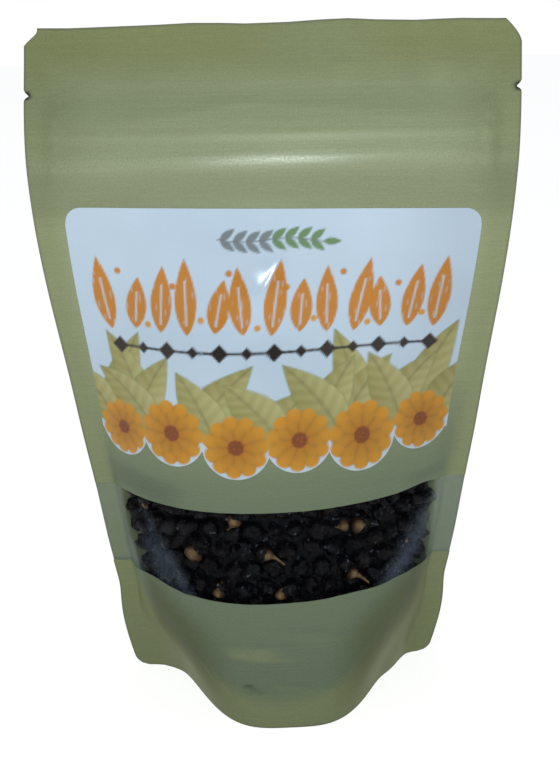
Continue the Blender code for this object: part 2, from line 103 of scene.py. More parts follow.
def noiseOn(tree, vector, scale, stretch=(1, 1, 1), detail=2.0):
    placed = addNode(tree, "Mapping", "Vector", {"Vector": vector, "Scale": stretch})
    return addNode(tree, "TexNoise", "Fac", {"Vector": placed, "Scale": scale, "Detail": detail})


def spread(tree, value, low, high, span=(0.3, 0.7)):
    # Takes a value from its span, which is noise's usual one, to low..high
    return addNode(tree, "MapRange", "Result", {"Value": value, "From Min": span[0], "From Max": span[1],
                                                "To Min": low, "To Max": high})


def maths(tree, operation, a, b):
    return addNode(tree, "Math", "Value", {0: a, 1: b}, operation=operation)


def mixColour(tree, share, a, b):
    return addNode(tree, "Mix", 2, {0: share, 6: a, 7: b}, data_type="RGBA")


def shadeColour(tree, colour, amount):
    return addNode(tree, "VectorMath", "Vector", {0: colour, 1: amount}, operation="MULTIPLY")


def bumpFrom(tree, height, strength, distance):
    return addNode(tree, "Bump", "Normal", {"Height": height, "Strength": strength, "Distance": distance})


# Camera, floor and light

view = {
    "lens": 37.93,
    "nearest": 0.01,
    "place": (0.0141, -0.2656, 0.2282),
    "pitchDown": 22.24,      # degrees
    "yaw": -2.83,
    "roll": 1.35,
}

studio = {
    "floorSize": 60.0,
    "floorColour": (0.90, 0.90, 0.90, 1),
    "floorRoughness": 0.8,
    "bounce": (0.48, 0.98),            # how pale the floor is to bouncing light, near the foot and further off
    "bounceReach": (0.09, 0.30),
    "backdrop": (1.0, 1.0, 1.0, 1),    # what the camera sees beyond the floor
    "skyColour": (0.93, 0.97, 1.0, 1),
    "skyStrength": 0.20,
    "sunTurn": (14, 0, -16),           # degrees
    "sunWidth": 60,
    "sunStrength": 3.10,
    # name, place, aimed at, size, watts, share of its highlight, colour
    "lamps": (
        ("flashLamp", (0.013, -0.29, 0.250), (0, 0, 0.17), 0.045, 0.455, 1.0, (0.80, 0.91, 1.0)),
        ("softboxBack", (0.35, 0.95, 0.75), (0, 0, 0.1), 0.7, 4.0, 0.15, (1.0, 0.99, 0.97)),
        ("softboxLeft", (-1.05, -0.10, 0.55), (0, 0, 0.1), 0.6, 0.5, 0.15, (0.97, 0.99, 1.0)),
        ("softboxRight", (1.05, -0.15, 0.50), (0, 0, 0.1), 0.6, 0.4, 0.15, (0.97, 0.99, 1.0)),
    ),
}


def putInScene(name, data):
    made = bpy.data.objects.new(name, data)
    bpy.context.scene.collection.objects.link(made)
    return made


def addCamera():
    yaw, pitch, roll = (math.radians(view[k]) for k in ("yaw", "pitchDown", "roll"))
    ahead = Vector((math.sin(yaw) * math.cos(pitch), math.cos(yaw) * math.cos(pitch), -math.sin(pitch)))
    right = Vector((math.cos(yaw), -math.sin(yaw), 0))
    down = ahead.cross(right)
    right, down = (right * math.cos(roll) + down * math.sin(roll),
                   down * math.cos(roll) - right * math.sin(roll))
    camera = putInScene("camera", bpy.data.cameras.new("camera"))
    camera.data.lens = view["lens"]
    camera.data.clip_start = view["nearest"]
    turn = Matrix((right, -down, -ahead)).transposed()
    camera.matrix_world = Matrix.Translation(view["place"]) @ turn.to_4x4()
    bpy.context.scene.camera = camera


def splitForCamera(tree, output, bounced, seen):
    # The camera sees one shader, and light that bounces meets the other
    isCamera = addNode(tree, "LightPath", "Is Camera Ray")
    chosen = addNode(tree, "MixShader", 0, {0: isCamera, 1: bounced, 2: seen})
    tree.links.new(chosen, tree.nodes[output].inputs["Surface"])


def addFloor():
    bpy.ops.mesh.primitive_plane_add(size=studio["floorSize"], location=(0, 0, 0))
    floor = bpy.context.object
    floor.name = "floor"
    paint, tree, shader = newMaterial("floorPaint", {"Base Color": studio["floorColour"],
                                                     "Roughness": studio["floorRoughness"]})
    # beside the foot little light comes back up, as if that floor lay in the pouch's shadow
    away = addNode(tree, "VectorMath", "Value", {0: objectPlace(tree)}, operation="LENGTH")
    bounce = spread(tree, away, *studio["bounce"], studio["bounceReach"])
    dim = addNode(tree, "BsdfDiffuse", "BSDF", {"Color": bounce})
    splitForCamera(tree, "Material Output", dim, shader.outputs["BSDF"])
    floor.data.materials.append(paint)
    return floor


def addSky():
    world = bpy.data.worlds.new("studioSky")
    world.use_nodes = True
    tree = world.node_tree
    sky = tree.nodes["Background"]
    sky.inputs["Color"].default_value = studio["skyColour"]
    sky.inputs["Strength"].default_value = studio["skyStrength"]
    backdrop = addNode(tree, "Background", "Background", {"Color": studio["backdrop"]})
    splitForCamera(tree, "World Output", sky.outputs["Background"], backdrop)
    bpy.context.scene.world = world


def addLights(floor):
    # The sun lights the floor alone, and the lamps light the pouch alone
    sun = bpy.data.lights.new("overheadSoft", "SUN")
    sun.energy = studio["sunStrength"]
    sun.angle = math.radians(studio["sunWidth"])
    sun.use_shadow = False       # the photo's floor shows none
    high = putInScene("overheadSoft", sun)
    high.rotation_euler = [math.radians(a) for a in studio["sunTurn"]]
    floorOnly = bpy.data.collections.new("floorOnly")
    floorOnly.objects.link(floor)
    high.light_linking.receiver_collection = floorOnly
    pouchOnly = bpy.data.collections.new("pouchOnly")
    for name, place, aim, size, watts, highlight, colour in studio["lamps"]:
        lamp = bpy.data.lights.new(name, "AREA")
        lamp.size, lamp.energy, lamp.specular_factor, lamp.color = size, watts, highlight, colour
        stand = putInScene(name, lamp)
        stand.location = place
        stand.rotation_euler = (Vector(aim) - Vector(place)).to_track_quat("-Z", "Y").to_euler()
        stand.light_linking.receiver_collection = pouchOnly
    return pouchOnly


addCamera()
addSky()
pouchOnly = addLights(addFloor())
bpy.context.scene.view_settings.view_transform = "Standard"
print("camera and studio set")


# The bent sheet: s runs across the lay-flat pouch from its middle, t up it from its bottom edge

pouch = {
    "width": 0.152,
    "height": 0.241,
    "sideSeal": 0.007,
    "skin": 0.00024,         # the laminate's thickness
    # the left top corner is clipped, the right one swept round
    "cornerCut": 0.0052,
    "cornerSlope": 1.1,
    "cornerWidth": 0.0042,
    "cornerSweep": 0.0072,
    "cornerSweepWidth": 0.0048,
    "cornerSweepPower": 1.6,
    "footCorner": 0.0045,
    "drawnIn": 0.009,        # how much of the sheet's edge follows the corners and notches
    # across, up (mm)
    "topWaves": ((-76, 0), (-62, -0.35), (-50, -0.2), (-35, 0), (-24, 0.3), (-15, 0.1), (-7, -0.25),
                 (6, -0.1), (16, 0.35), (24, 0.5), (32, 0), (44, -0.4), (58, -0.2), (68, -0.5),
                 (76, -0.6)),
    "wavesFrom": 0.222,
    "notchAt": 0.2203,
    "notchDepth": 0.0018,
    "notchHalf": 0.0012,
    "windowLow": 0.0476,
    "windowHigh": 0.0815,
    # where the window's two edges wander: middle, half width, height (mm)
    "edgeLifts": {"upperFront": ((57, 7, 1.0),),
                  "lowerFront": ((-51, 9, 2.0), (-37, 8, 0.5), (49, 7, 0.9), (27, 9, 0.5), (-8, 20, -0.9))},
    "liftPower": 6,          # the higher it is, the nearer to the edge this stays
    "topSeal": 0.229,
    # how far each seal's edge blends, to either side of its line
    "sideBlend": (-0.0008, 0.0004),
    "topBlend": (-0.0006, 0.0006),
    "footBlend": (-0.0010, 0.0006),
    "zipTracks": ((0.2003, 0.00042, 0.0034), (0.2078, 0.00022, 0.0013)),    # height, how proud, half width
    "zipRoom": 0.0015,       # how far the sheets stand apart round the zip
    "zipRise": (0.1883, 0.1980),
    "zipFall": (0.2098, 0.2218),
    "zipHigh": 0.2113,
    "zipRoomEnd": 0.067,
    "zipTrackEnd": 0.0755,
    "zipCrushed": 0.7,       # how much lower the tracks are in the side seals
    "zipFades": (0.0015, 0.002, 0.001),    # how softly the room, the crushed part and the tracks end
    "sealMiddle": 0.009,     # the curved seal over the foot
    "gussetFold": 0.048,
    "tabEnd": 0.056,
    "tabRelease": 0.006,
    # stations up the sheet: how deep the bulge is, where its middle plane lies, and how it is rounded
    "depth": ((0, 0.0382), (0.025, 0.0333), (0.055, 0.0280), (0.090, 0.0238), (0.125, 0.0180),
              (0.160, 0.0079), (0.188, 0.0016), (0.200, 0.0005), (0.229, 0.0003), (0.241, 0)),
    "lean": ((0, -0.0004), (0.070, 0.0029), (0.140, -0.0018), (0.195, -0.0086), (0.241, 0.0043)),
    "twist": ((0, 0.0045), (0.080, 0.0031), (0.160, 0.0025), (0.241, -0.0007)),
    "flatness": ((0, 3.5), (0.040, 2.6), (0.090, 2.2), (0.150, 2.0), (0.241, 1.7)),
    "shoulder": ((0, 3.05), (0.040, 0.82), (0.090, 1.03), (0.150, 2.1), (0.241, 1.8)),
    "shift": ((0, -0.08), (0.040, 0), (0.090, 0.11), (0.150, 0.23), (0.241, 0)),
    # where the foot stands further forward: place across, half width, how far (mm)
    "footFlares": ((55.5, 7.0, 2.6), (-61, 6, 0.9)),
    "seamFlares": ((-68, 10, 1.6), (62, 6, 2.7)),
    "flareFade": (0.004, 0.036),
    "flareEnd": (0.063, 0.070),
    "rows": 483,
    "columns": 305,
}

# Soft folds in the sheets: s, t, turn in degrees, half length, half width, height (minus is a dent), in mm
folds = {
    front: (
        (44, 236, 88, 9, 3.2, -0.42), (61, 235, 84, 9, 2.8, -0.38), (52, 234, 92, 10, 3.5, 0.30),
        (24, 233, 80, 12, 5.0, 0.25), (-21, 215, 8, 16, 1.6, 0.18), (5, 216, -3, 30, 1.4, 0.15),
        (-44, 231, 96, 11, 5.0, -0.22), (-2.5, 157.5, 44, 7.6, 6.7, 1.5), (0.1, 164.2, 58, 7.3, 1.1, 0.28),
        (-36, 190, 22, 16, 3.0, 0.25), (38, 189, -20, 18, 3.2, 0.28), (-10, 28.0, -2, 11, 1.9, 1.15),
        (-12, 14.6, 12, 3.2, 1.5, -1.3), (10, 13.8, -10, 19, 1.1, 0.60), (16, 34.6, -8, 16, 1.2, 0.45),
        (-26, 15.5, -48, 8, 1.0, 0.60), (-20, 12.6, -46, 6, 1.0, 0.50), (28, 22.0, 40, 12, 1.5, 0.40),
        (-40, 60, -67, 19, 2.1, 0.75), (-52, 62, -72, 13, 2.4, -0.35), (55, 53, 42, 17, 2.6, 0.70),
        (63, 66, 78, 9, 2.0, -0.30), (-62, 100, 86, 26, 2.6, 0.22), (63, 108, 93, 30, 2.8, 0.24),
        (-46, 24, 64, 14, 2.2, 0.25), (44, 24, -62, 15, 2.4, 0.25),
    ),
    back: (
        (-30, 150, 78, 30, 4.0, 0.45), (26, 120, 98, 34, 4.6, 0.40), (0, 60, 4, 34, 3.0, 0.35),
        (-44, 90, 70, 22, 3.2, 0.35), (46, 60, 110, 24, 3.2, 0.35), (10, 186, 3, 40, 3.0, 0.25),
        (-20, 20, 8, 22, 1.6, 0.35), (24, 26, -10, 18, 1.6, 0.30), (-50, 236, 92, 9, 3.0, -0.35),
        (30, 235, 86, 10, 3.6, 0.30),
    ),
}

relief = {
    "lumps": (0.00007, 0.011),         # height and pitch of the fruit pressing through the sheets
    "lumpFade": (0.080, 0.110),
    "puckers": (0.00013, 0.0075),      # of the small puckers beside the side seals
    "puckerPlace": 0.0655,
    "puckerHalf": 0.0035,
    "foldsInSeal": 0.25,               # how much of a fold is left where the sheets are sealed
}

halfWidth = pouch["width"] / 2
sealStart = halfWidth - pouch["sideSeal"]


def followStations(stations, t):
    heights, values = np.array(stations, float).T
    step = np.diff(heights)
    rise = np.diff(values) / step
    blended = (rise[:-1] * step[1:] + rise[1:] * step[:-1]) / (step[1:] + step[:-1])
    slope = np.concatenate([[rise[0]], np.where(rise[:-1] * rise[1:] > 0, blended, 0.0), [rise[-1]]])
    i = np.clip(np.searchsorted(heights, t, side="right") - 1, 0, len(heights) - 2)
    x = (t - heights[i]) / step[i]
    lower = (1 + 2 * x) * (1 - x) ** 2 * values[i] + x * (1 - x) ** 2 * step[i] * slope[i]
    return lower + x * x * (3 - 2 * x) * values[i + 1] + x * x * (x - 1) * step[i] * slope[i + 1]


def softStep(value, start, end):
    x = np.clip((np.asarray(value, float) - start) / (end - start), 0, 1)
    return x * x * (3 - 2 * x)


def ovals(marks, s, t, power=2):
    # Soft oval marks: s, t, turn in degrees, half length, half width (mm), strength
    total = 0
    for s0, t0, turn, length, width, strength in marks:
        a = math.radians(turn)
        along = (s * 1000 - s0) * math.cos(a) + (t * 1000 - t0) * math.sin(a)
        across = (t * 1000 - t0) * math.cos(a) - (s * 1000 - s0) * math.sin(a)
        total = total + strength * np.exp(-(across / width) ** power - (along / length) ** power)
    return total


def humps(places, s):
    # Rounded humps along the sheet's width: place, half width, height (mm)
    return sum(height * np.exp(-((s * 1000 - place) / half) ** 2) for place, half, height in places) / 1000


def wander(s, t, size, phase):
    # An uneven ripple both ways
    height, pitch = size
    k = 2 * math.pi / pitch
    return height * (np.sin(k * s + 1.7 * np.sin(k * 0.61 * t + phase))
                     * np.sin(k * 0.93 * t + 1.3 * np.sin(k * 0.53 * s + 2.1 * phase)))


def zipRelief(s, t):
    out = np.abs(s)
    roomFade, crushFade, trackFade = pouch["zipFades"]
    inside = 1 - softStep(out, pouch["zipRoomEnd"], sealStart + roomFade)
    room = pouch["zipRoom"] * softStep(t, *pouch["zipRise"]) * (1 - softStep(t, *pouch["zipFall"]))
    ridges = sum(height * np.exp(-((t - track) / half) ** 2) for track, height, half in pouch["zipTracks"])
    crushed = 1 - pouch["zipCrushed"] * softStep(out - pouch["zipRoomEnd"], 0, crushFade)
    return inside * room + crushed * ridges * softStep(pouch["zipTrackEnd"] - out, 0, trackFade)


def sealLine(s):
    reach = np.clip(np.abs(s) / sealStart, 0, 1)
    return pouch["sealMiddle"] + (pouch["gussetFold"] - pouch["sealMiddle"]) * reach ** 2


def sealedShare(s, t):
    # 1 where the sheets are sealed: at the sides, at the top and below the curved line over the foot
    side = softStep(np.abs(s) - sealStart, *pouch["sideBlend"])
    top = softStep(t - pouch["topSeal"], *pouch["topBlend"])
    foot = 1 - softStep(t - sealLine(s), *pouch["footBlend"])
    return np.maximum(np.maximum(side, top), foot)


def bendPouch():
    t = np.linspace(0, pouch["height"], pouch["rows"])
    s = np.linspace(-halfWidth, halfWidth, pouch["columns"])
    flatness, shoulder, shift = (followStations(pouch[k], t)[:, None] for k in ("flatness", "shoulder", "shift"))
    u = np.sin(np.linspace(-1, 1, pouch["columns"]) * math.pi / 2)
    crown = np.clip(1 - np.abs(u + shift * (1 - u * u)) ** flatness, 0, 1) ** shoulder
    bulge = followStations(pouch["depth"], t)[:, None] * crown
    narrow, wide = np.full(len(t), sealStart * 0.3), np.full(len(t), sealStart)
    for _ in range(26):      # halves in on the half width that keeps each level's length along the sheet
        half = (narrow + wide) / 2
        pieces = np.hypot(half[:, None] * np.diff(u), np.diff(bulge, axis=1))
        tooLong = pieces.sum(1) > 2 * sealStart
        narrow, wide = np.where(tooLong, narrow, half), np.where(tooLong, half, wide)
    arc = np.concatenate([np.zeros((len(t), 1)), np.cumsum(pieces, 1)], 1)
    arc = arc * (2 * sealStart / arc[:, -1:]) - sealStart
    edge = half + pouch["sideSeal"]
    x, depth = np.zeros((len(t), len(s))), np.zeros((len(t), len(s)))
    for j in range(len(t)):
        places = np.concatenate([[s[0]], arc[j], [s[-1]]])
        x[j] = np.interp(s, places, np.concatenate([[-edge[j]], half[j] * u, [edge[j]]]))
        depth[j] = np.interp(s, places, np.concatenate([[0], bulge[j], [0]]))
    lean = followStations(pouch["lean"], t)
    z = np.concatenate([[0], np.cumsum(np.sqrt(np.diff(t) ** 2 - np.diff(lean) ** 2 - np.diff(edge) ** 2))])
    sheet = {"x": x, "z": np.repeat(z[:, None], len(s), 1), "s": s, "t": t}
    ss, tt = s[None, :], t[:, None]
    flared = 1 - softStep(tt, *pouch["flareFade"])
    middle = lean[:, None] + followStations(pouch["twist"], t)[:, None] * x / edge[:, None]
    middle = middle - flared * humps(pouch["seamFlares"], ss)
    legs = pouch["skin"] * np.clip((pouch["tabEnd"] - tt) / pouch["tabRelease"], 0, 1)
    free = 1 - sealedShare(ss, tt)
    filled = free * (1 - softStep(tt, *relief["lumpFade"]))
    pucker = np.exp(-((np.abs(ss) - relief["puckerPlace"]) / relief["puckerHalf"]) ** 2)
    foldShare = relief["foldsInSeal"] + (1 - relief["foldsInSeal"]) * free
    flare = flared * humps(pouch["footFlares"], ss) * (1 - softStep(np.abs(ss), *pouch["flareEnd"]))
    for side in (front, back):
        nearest = pouch["skin"] / 2 + legs
        grown = depth + nearest + zipRelief(ss, tt) + (side == front) * flare
        grown = grown + wander(ss, tt, relief["lumps"], side + 2.0) * filled
        grown = grown + wander(ss, tt, relief["puckers"], side * 1.4) * pucker
        grown = grown + ovals(folds[side], ss, tt) / 1000 * foldShare
        sheet[side, "depth"] = np.maximum(grown, nearest)
        points = np.stack([x, middle + side * sheet[side, "depth"], sheet["z"]], 2)
        inward = side * np.cross(np.gradient(points, axis=1), np.gradient(points, axis=0))
        sheet[side, "inward"] = inward / np.linalg.norm(inward, axis=2, keepdims=True)
    # the header bends as one, so its folds move both sheets
    header = softStep(tt, pouch["zipHigh"], pouch["topSeal"])
    sheet["middle"] = middle + front * header * ovals(folds[front], ss, tt) / 1000
    return sheet


bent = bendPouch()


def readGrid(grid, s, t):
    row = np.clip(t / pouch["height"] * (pouch["rows"] - 1), 0, pouch["rows"] - 1.000001)
    column = np.clip((s / pouch["width"] + 0.5) * (pouch["columns"] - 1), 0, pouch["columns"] - 1.000001)
    i, j = row.astype(int), column.astype(int)
    a, b = row - i, column - j
    if grid.ndim == 3:
        a, b = a[..., None], b[..., None]
    return ((1 - a) * ((1 - b) * grid[i, j] + b * grid[i, j + 1])
            + a * ((1 - b) * grid[i + 1, j] + b * grid[i + 1, j + 1]))


def sheetDepth(s, t, side):
    return readGrid(bent["middle"], s, t) + side * readGrid(bent[side, "depth"], s, t)


def sheetPoint(s, t, side, inward=0.0):
    s, t = np.broadcast_arrays(np.asarray(s, float), np.asarray(t, float))
    normal = readGrid(bent[side, "inward"], s, t)
    normal = normal / np.linalg.norm(normal, axis=-1, keepdims=True)
    points = np.stack([readGrid(bent["x"], s, t), sheetDepth(s, t, side), readGrid(bent["z"], s, t)], -1)
    return points + np.asarray(inward, float)[..., None] * normal


print("sheet bent")


# Sheets as meshes

smoothBelow = 50         # degrees between faces


def selectOnly(piece):
    bpy.ops.object.select_all(action="DESELECT")
    piece.select_set(True)
    bpy.context.view_layer.objects.active = piece


def gridPiece(name, across, up, spacing):
    bpy.ops.object.select_all(action="DESELECT")
    bpy.ops.mesh.primitive_grid_add(x_subdivisions=round(across / spacing), y_subdivisions=round(up / spacing),
                                    size=1, location=(0, 0, 0))
    piece = bpy.context.object
    piece.name = piece.data.name = name
    while piece.data.uv_layers:
        piece.data.uv_layers.remove(piece.data.uv_layers[0])
    corners = np.zeros(len(piece.data.vertices) * 3)
    piece.data.vertices.foreach_get("co", corners)
    corners = corners.reshape(-1, 3) + 0.5
    return piece, corners[:, 0], corners[:, 1]


def placeVertices(piece, points, s, t):
    # Its UV map is its place on the lay-flat sheet
    piece.data.vertices.foreach_set("co", np.asarray(points, np.float32).ravel())
    piece.data.update()
    layer = piece.data.uv_layers.new(name="sheet")
    corners = np.zeros(len(piece.data.loops), int)
    piece.data.loops.foreach_get("vertex_index", corners)
    flat = np.stack([s / pouch["height"] + 0.5, t / pouch["height"]], 1)[corners]
    layer.data.foreach_set("uv", flat.astype(np.float32).ravel())


def addShares(piece, shares):
    for name, values in shares.items():
        layer = piece.data.attributes.new(name, "FLOAT", "POINT")
        layer.data.foreach_set("value", np.asarray(values, np.float32))


def thicken(piece, thickness):
    selectOnly(piece)
    wall = piece.modifiers.new("wall", "SOLIDIFY")
    wall.thickness = thickness
    wall.offset = 0
    bpy.ops.object.modifier_apply(modifier="wall")
    bpy.ops.object.shade_smooth_by_angle(angle=math.radians(smoothBelow))


def finishPiece(piece, material, slotName, *nodes):
    piece.data.materials.clear()
    piece.data.materials.append(material)
    if nodes:
        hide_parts(*nodes)
    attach(piece, "root")
    print("made", piece.name, len(piece.data.polygons), "faces")


# The kraft-look laminate

kraft = {
    "spacing": {"upperFront": 0.0009, "lowerFront": 0.0008, "backSheet": 0.0011},
    "open": (0.279, 0.306, 0.172, 1),      # over the free sheet; partly its own tone, partly painted sheen that leaves it lighter and bluer than the seals
    "bonded": (0.242, 0.270, 0.138, 1),    # where sheets are sealed together
    "band": (0.234, 0.252, 0.112, 1),      # along the top seal
    "filled": (0.141, 0.182, 0.111, 1),    # where the dark fruit lies right behind
    "bondedLow": (0.236, 0.266, 0.126, 1),
    "filledLow": (0.161, 0.206, 0.125, 1),
    "creaseHighlight": (0.245, 0.268, 0.138, 1),   # painted highlight along creases, on raised facets and on the foot's seal band
    "hollowShade": (0.103, 0.118, 0.054, 1),    # painted shade beside the foot's side seams, where the sheet turns in
    # painted shade: cutEdge darkens the laminate along its cut edges, and notch darkens it round the tear notches
    "cutEdge": (0.155, 0.160, 0.105, 1),
    "notch": (0.035, 0.036, 0.026, 1),
    # where on the sheet each tone starts and ends
    "headerTone": (0.185, 0.200),
    "sideTone": ((0.0655, 0.0720), (0.0525, 0.0740)),    # below the header, and in it
    "topTone": (0.218, 0.234),
    "footTone": (-0.0030, 0.0060),
    "filledTone": (0.072, 0.137),
    "filledBack": (0.054, 0.064),
    "bandTone": (0.216, 0.231),
    "lowTone": (0.045, 0.095),
    "edgeWidth": 0.0005,
    # the painted shade lies this far above the seal line; its half height, its top, its inner and outer ends
    "hollowShadeAt": (0.007, 0.016, (0.046, 0.064), (0.014, 0.036), (0.050, 0.063)),
    "hollowShadeWider": 0.006,    # on the right
    "hollowShadeShare": 0.72,
    "hollowGloss": 0.25,
    # grain and streaks: scale, stretch, detail, how much they lighten and darken
    "streak": (1.0, (7, 330, 1), 4, 0.038),
    "grain": (400, (1, 1, 1), 2, 0.08),
    "fibre": (1.0, (60, 900, 1), 3, 0.045),
    "cloud": (7, (1, 1.6, 1), 3),
    "cloudShare": 0.35,
    "bump": (0.35, 0.00008),
    "grainInBump": 0.5,
    "sockets": {"IOR": 1.38, "Specular Tint": (1, 0.98, 0.88, 1)},
    "roughness": (0.36, 0.44),
    "gloss": 0.36,
    # over the zip's ridge: half width, its share at the left, how much less at the right, and from where
    "ridge": (0.0034, 1.12, 0.75, (0.000, 0.032)),
    "ridgeRoughness": (-0.036, -0.084),    # what the ridge adds to the sheet's roughness and gloss
    "ridgeGloss": (0.20, 0.80),
    "notchTone": (0.6, 1.0),
    # s, t, turn in degrees, half length, half width (mm), strength
    # creases: where the painted highlights lie
    "creases": ((4, 5.0, 0, 20, 6.5, 0.30), (14, 233.5, 0, 18, 8, 0.8), (-10, 28.2, -2, 9.5, 2.2, 0.75),
                (-3, 25.8, -2, 10, 0.7, 0.35), (-24, 15.6, -50, 7, 0.9, 0.40), (10, 14.0, -9, 15, 1.1, 0.32),
                (14, 32.5, -6, 13, 0.9, 0.20), (30, 20.0, 42, 9, 1.1, 0.25)),
    # painted shade: darker marks below the zip, over the window's top corners, along the side seals and round a dent
    # low on the front
    "shadeMarks": ((-12.4, 15.2, 10, 2.0, 0.9, 0.30), (-9, 13.9, -4, 3.4, 0.5, 0.16), (-50, 87.0, -6, 16, 5.0, 0.24),
              (58, 86, 6, 8, 2.4, 0.16), (0, 190, 0, 200, 8.0, 0.16), (71, 190, 90, 14, 6, 0.03),
              (-65, 211, 90, 24, 10, 0.04), (67, 208, 90, 22, 9, 0.04), (67, 103, 90, 18, 5, 0.10),
              (62, 28, 90, 24, 9, 0.10)),
}


def kraftMaterial():
    material, tree, shader = newMaterial("kraftPaper", kraft["sockets"])
    flat = sheetMap(tree)
    streak, grain, fibre, cloud = (noiseOn(tree, flat, *kraft[k][:3]) for k in ("streak", "grain", "fibre", "cloud"))
    shares = {k: attribute(tree, k) for k in ("bonded", "filled", "low", "band", "creaseHighlight", "hollowShade",
                                              "shaded", "cutEdge", "notch", "ridge")}
    free = mixColour(tree, spread(tree, cloud, 0.0, kraft["cloudShare"]), kraft["open"], kraft["bonded"])
    filled = mixColour(tree, shares["low"], kraft["filled"], kraft["filledLow"])
    sealed = mixColour(tree, shares["band"], kraft["bonded"], kraft["band"])
    sealed = mixColour(tree, shares["low"], sealed, kraft["bondedLow"])
    colour = mixColour(tree, shares["bonded"], mixColour(tree, shares["filled"], free, filled), sealed)
    for name in ("creaseHighlight", "hollowShade"):
        colour = mixColour(tree, shares[name], colour, kraft[name])
    colour = shadeColour(tree, colour, maths(tree, "SUBTRACT", 1.0, shares["shaded"]))
    for name in ("cutEdge", "notch"):
        colour = mixColour(tree, shares[name], colour, kraft[name])
    for noise, (_, _, _, swing) in ((streak, kraft["streak"]), (grain, kraft["grain"]), (fibre, kraft["fibre"])):
        colour = shadeColour(tree, colour, spread(tree, noise, 1 - swing, 1 + swing))
    height = maths(tree, "ADD", streak, maths(tree, "MULTIPLY", grain, kraft["grainInBump"]))
    rough = spread(tree, streak, *kraft["roughness"])
    smoother = spread(tree, grain, *kraft["ridgeRoughness"])
    glossier = spread(tree, grain, *kraft["ridgeGloss"])
    gloss = maths(tree, "ADD", maths(tree, "MULTIPLY", shares["ridge"], glossier), kraft["gloss"])
    feed(tree, shader, {
        "Base Color": colour,
        "Normal": bumpFrom(tree, height, *kraft["bump"]),
        "Roughness": maths(tree, "ADD", rough, maths(tree, "MULTIPLY", shares["ridge"], smoother)),
        "Specular IOR Level": maths(tree, "MULTIPLY", gloss,
                                    spread(tree, shares["hollowShade"], 1.0, kraft["hollowGloss"], (0, 1))),
    })
    return material


def outlineHalf(s, t):
    below = pouch["height"] - t
    clipped = np.clip(pouch["cornerCut"] - below, 0, None) * pouch["cornerSlope"]
    clipped = np.minimum(clipped, pouch["cornerWidth"])
    swept = np.clip(pouch["cornerSweep"] - below, 0, None) / pouch["cornerSweep"]
    swept = swept ** pouch["cornerSweepPower"] * pouch["cornerSweepWidth"]
    low = np.clip(pouch["footCorner"] - t, 0, None)
    foot = pouch["footCorner"] - np.sqrt(pouch["footCorner"] ** 2 - low ** 2)
    notch = np.clip(1 - np.abs(t - pouch["notchAt"]) / pouch["notchHalf"], 0, 1)
    return halfWidth - np.where(np.asarray(s) > 0, swept, clipped) - foot - pouch["notchDepth"] * notch


def keepOutline(s, t):
    # Draws the sheet's sides in to the cut corners, the notches and the rounded foot corners
    pull = np.clip((np.abs(s) - halfWidth) / pouch["drawnIn"] + 1, 0, 1)
    return s - np.sign(s) * pull * (halfWidth - outlineHalf(s, t))


def bondedTone(s, t):
    # How olive the laminate looks: the same places as sealedShare, with softer edges; partly the seals' own olive,
    # partly painted sheen that leaves the free sheet between them lighter and bluer
    header = softStep(t, *kraft["headerTone"])
    start, end = (low + (high - low) * header for low, high in zip(*kraft["sideTone"]))
    foot = 1 - softStep(t - sealLine(s), *kraft["footTone"])
    return np.maximum(np.maximum(softStep(np.abs(s), start, end), softStep(t, *kraft["topTone"])), foot)


def hollowShadeTone(s, t):
    # painted shade in the concave turn beside the foot's side seams
    above, half, top, inner, outer = kraft["hollowShadeAt"]
    outside = np.where(s > 0, s - kraft["hollowShadeWider"], -s)
    hollowShade = np.exp(-((t - sealLine(s) - above) / half) ** 4) * (1 - softStep(t, *top))
    return kraft["hollowShadeShare"] * hollowShade * softStep(np.abs(s), *inner) * (1 - softStep(outside, *outer))


def ridgeTone(s, t):
    half, most, less, fade = kraft["ridge"]
    return np.exp(-((t - pouch["zipTracks"][0][0]) / half) ** 2) * (most - less * softStep(s, *fade))


def makePanel(name, side, low, high, node):
    piece, u, v = gridPiece(name, pouch["width"], high - low, kraft["spacing"][name])
    t = low + (high - low) * v
    s = (u - 0.5) * pouch["width"]
    t = t + (v if low == 0 else 1 - v) ** pouch["liftPower"] * humps(pouch["edgeLifts"].get(name, ()), s)
    s = keepOutline(s, t)
    points = sheetPoint(s, t, side)
    waves = np.interp(s * 1000, *np.array(pouch["topWaves"]).T) / 1000
    points[:, 2] += waves * softStep(t, pouch["wavesFrom"], pouch["height"])
    if low == 0:
        points[t < 1e-6, 2] = 0
    placeVertices(piece, points, s, t)
    fromTop, fromBottom = pouch["height"] - t, t + (side == back) * 0.01
    toEdge = np.minimum(np.minimum(outlineHalf(s, t) - np.abs(s), fromTop), fromBottom)
    toNotch = np.hypot(np.abs(s) - halfWidth + pouch["notchDepth"] * 0.5, t - pouch["notchAt"])
    filled = 1 - softStep(t, *kraft["filledTone"])
    addShares(piece, {
        "bonded": bondedTone(s, t),
        "filled": filled * (1 - (side == back) * softStep(np.abs(s), *kraft["filledBack"])),
        "band": softStep(t, *kraft["bandTone"]),
        "low": 1 - softStep(t, *kraft["lowTone"]),
        "ridge": ridgeTone(s, t),
        # painted shade along the cut edges and round the notches
        "cutEdge": 1 - softStep(toEdge, 0, kraft["edgeWidth"]),
        "notch": 1 - softStep(toNotch / pouch["notchDepth"], *kraft["notchTone"]),
    })
    if side == front:
        # painted highlights along creases, and painted shade below the zip, beside the window and in the foot's turn
        addShares(piece, {"creaseHighlight": np.clip(ovals(kraft["creases"], s, t, 4), 0, 1),
                          "shaded": np.clip(ovals(kraft["shadeMarks"], s, t, 4), 0, 1),
                          "hollowShade": hollowShadeTone(s, t)})
    else:
        piece.data.flip_normals()
    thicken(piece, pouch["skin"])
    finishPiece(piece, kraftPaper, "kraft", node)


kraftPaper = kraftMaterial()
makePanel("upperFront", front, pouch["windowHigh"], pouch["height"], "front_panel_upper")
makePanel("lowerFront", front, 0, pouch["windowLow"], "front_panel_lower")
makePanel("backSheet", back, 0, pouch["height"], "back_panel")


# The window's clear film

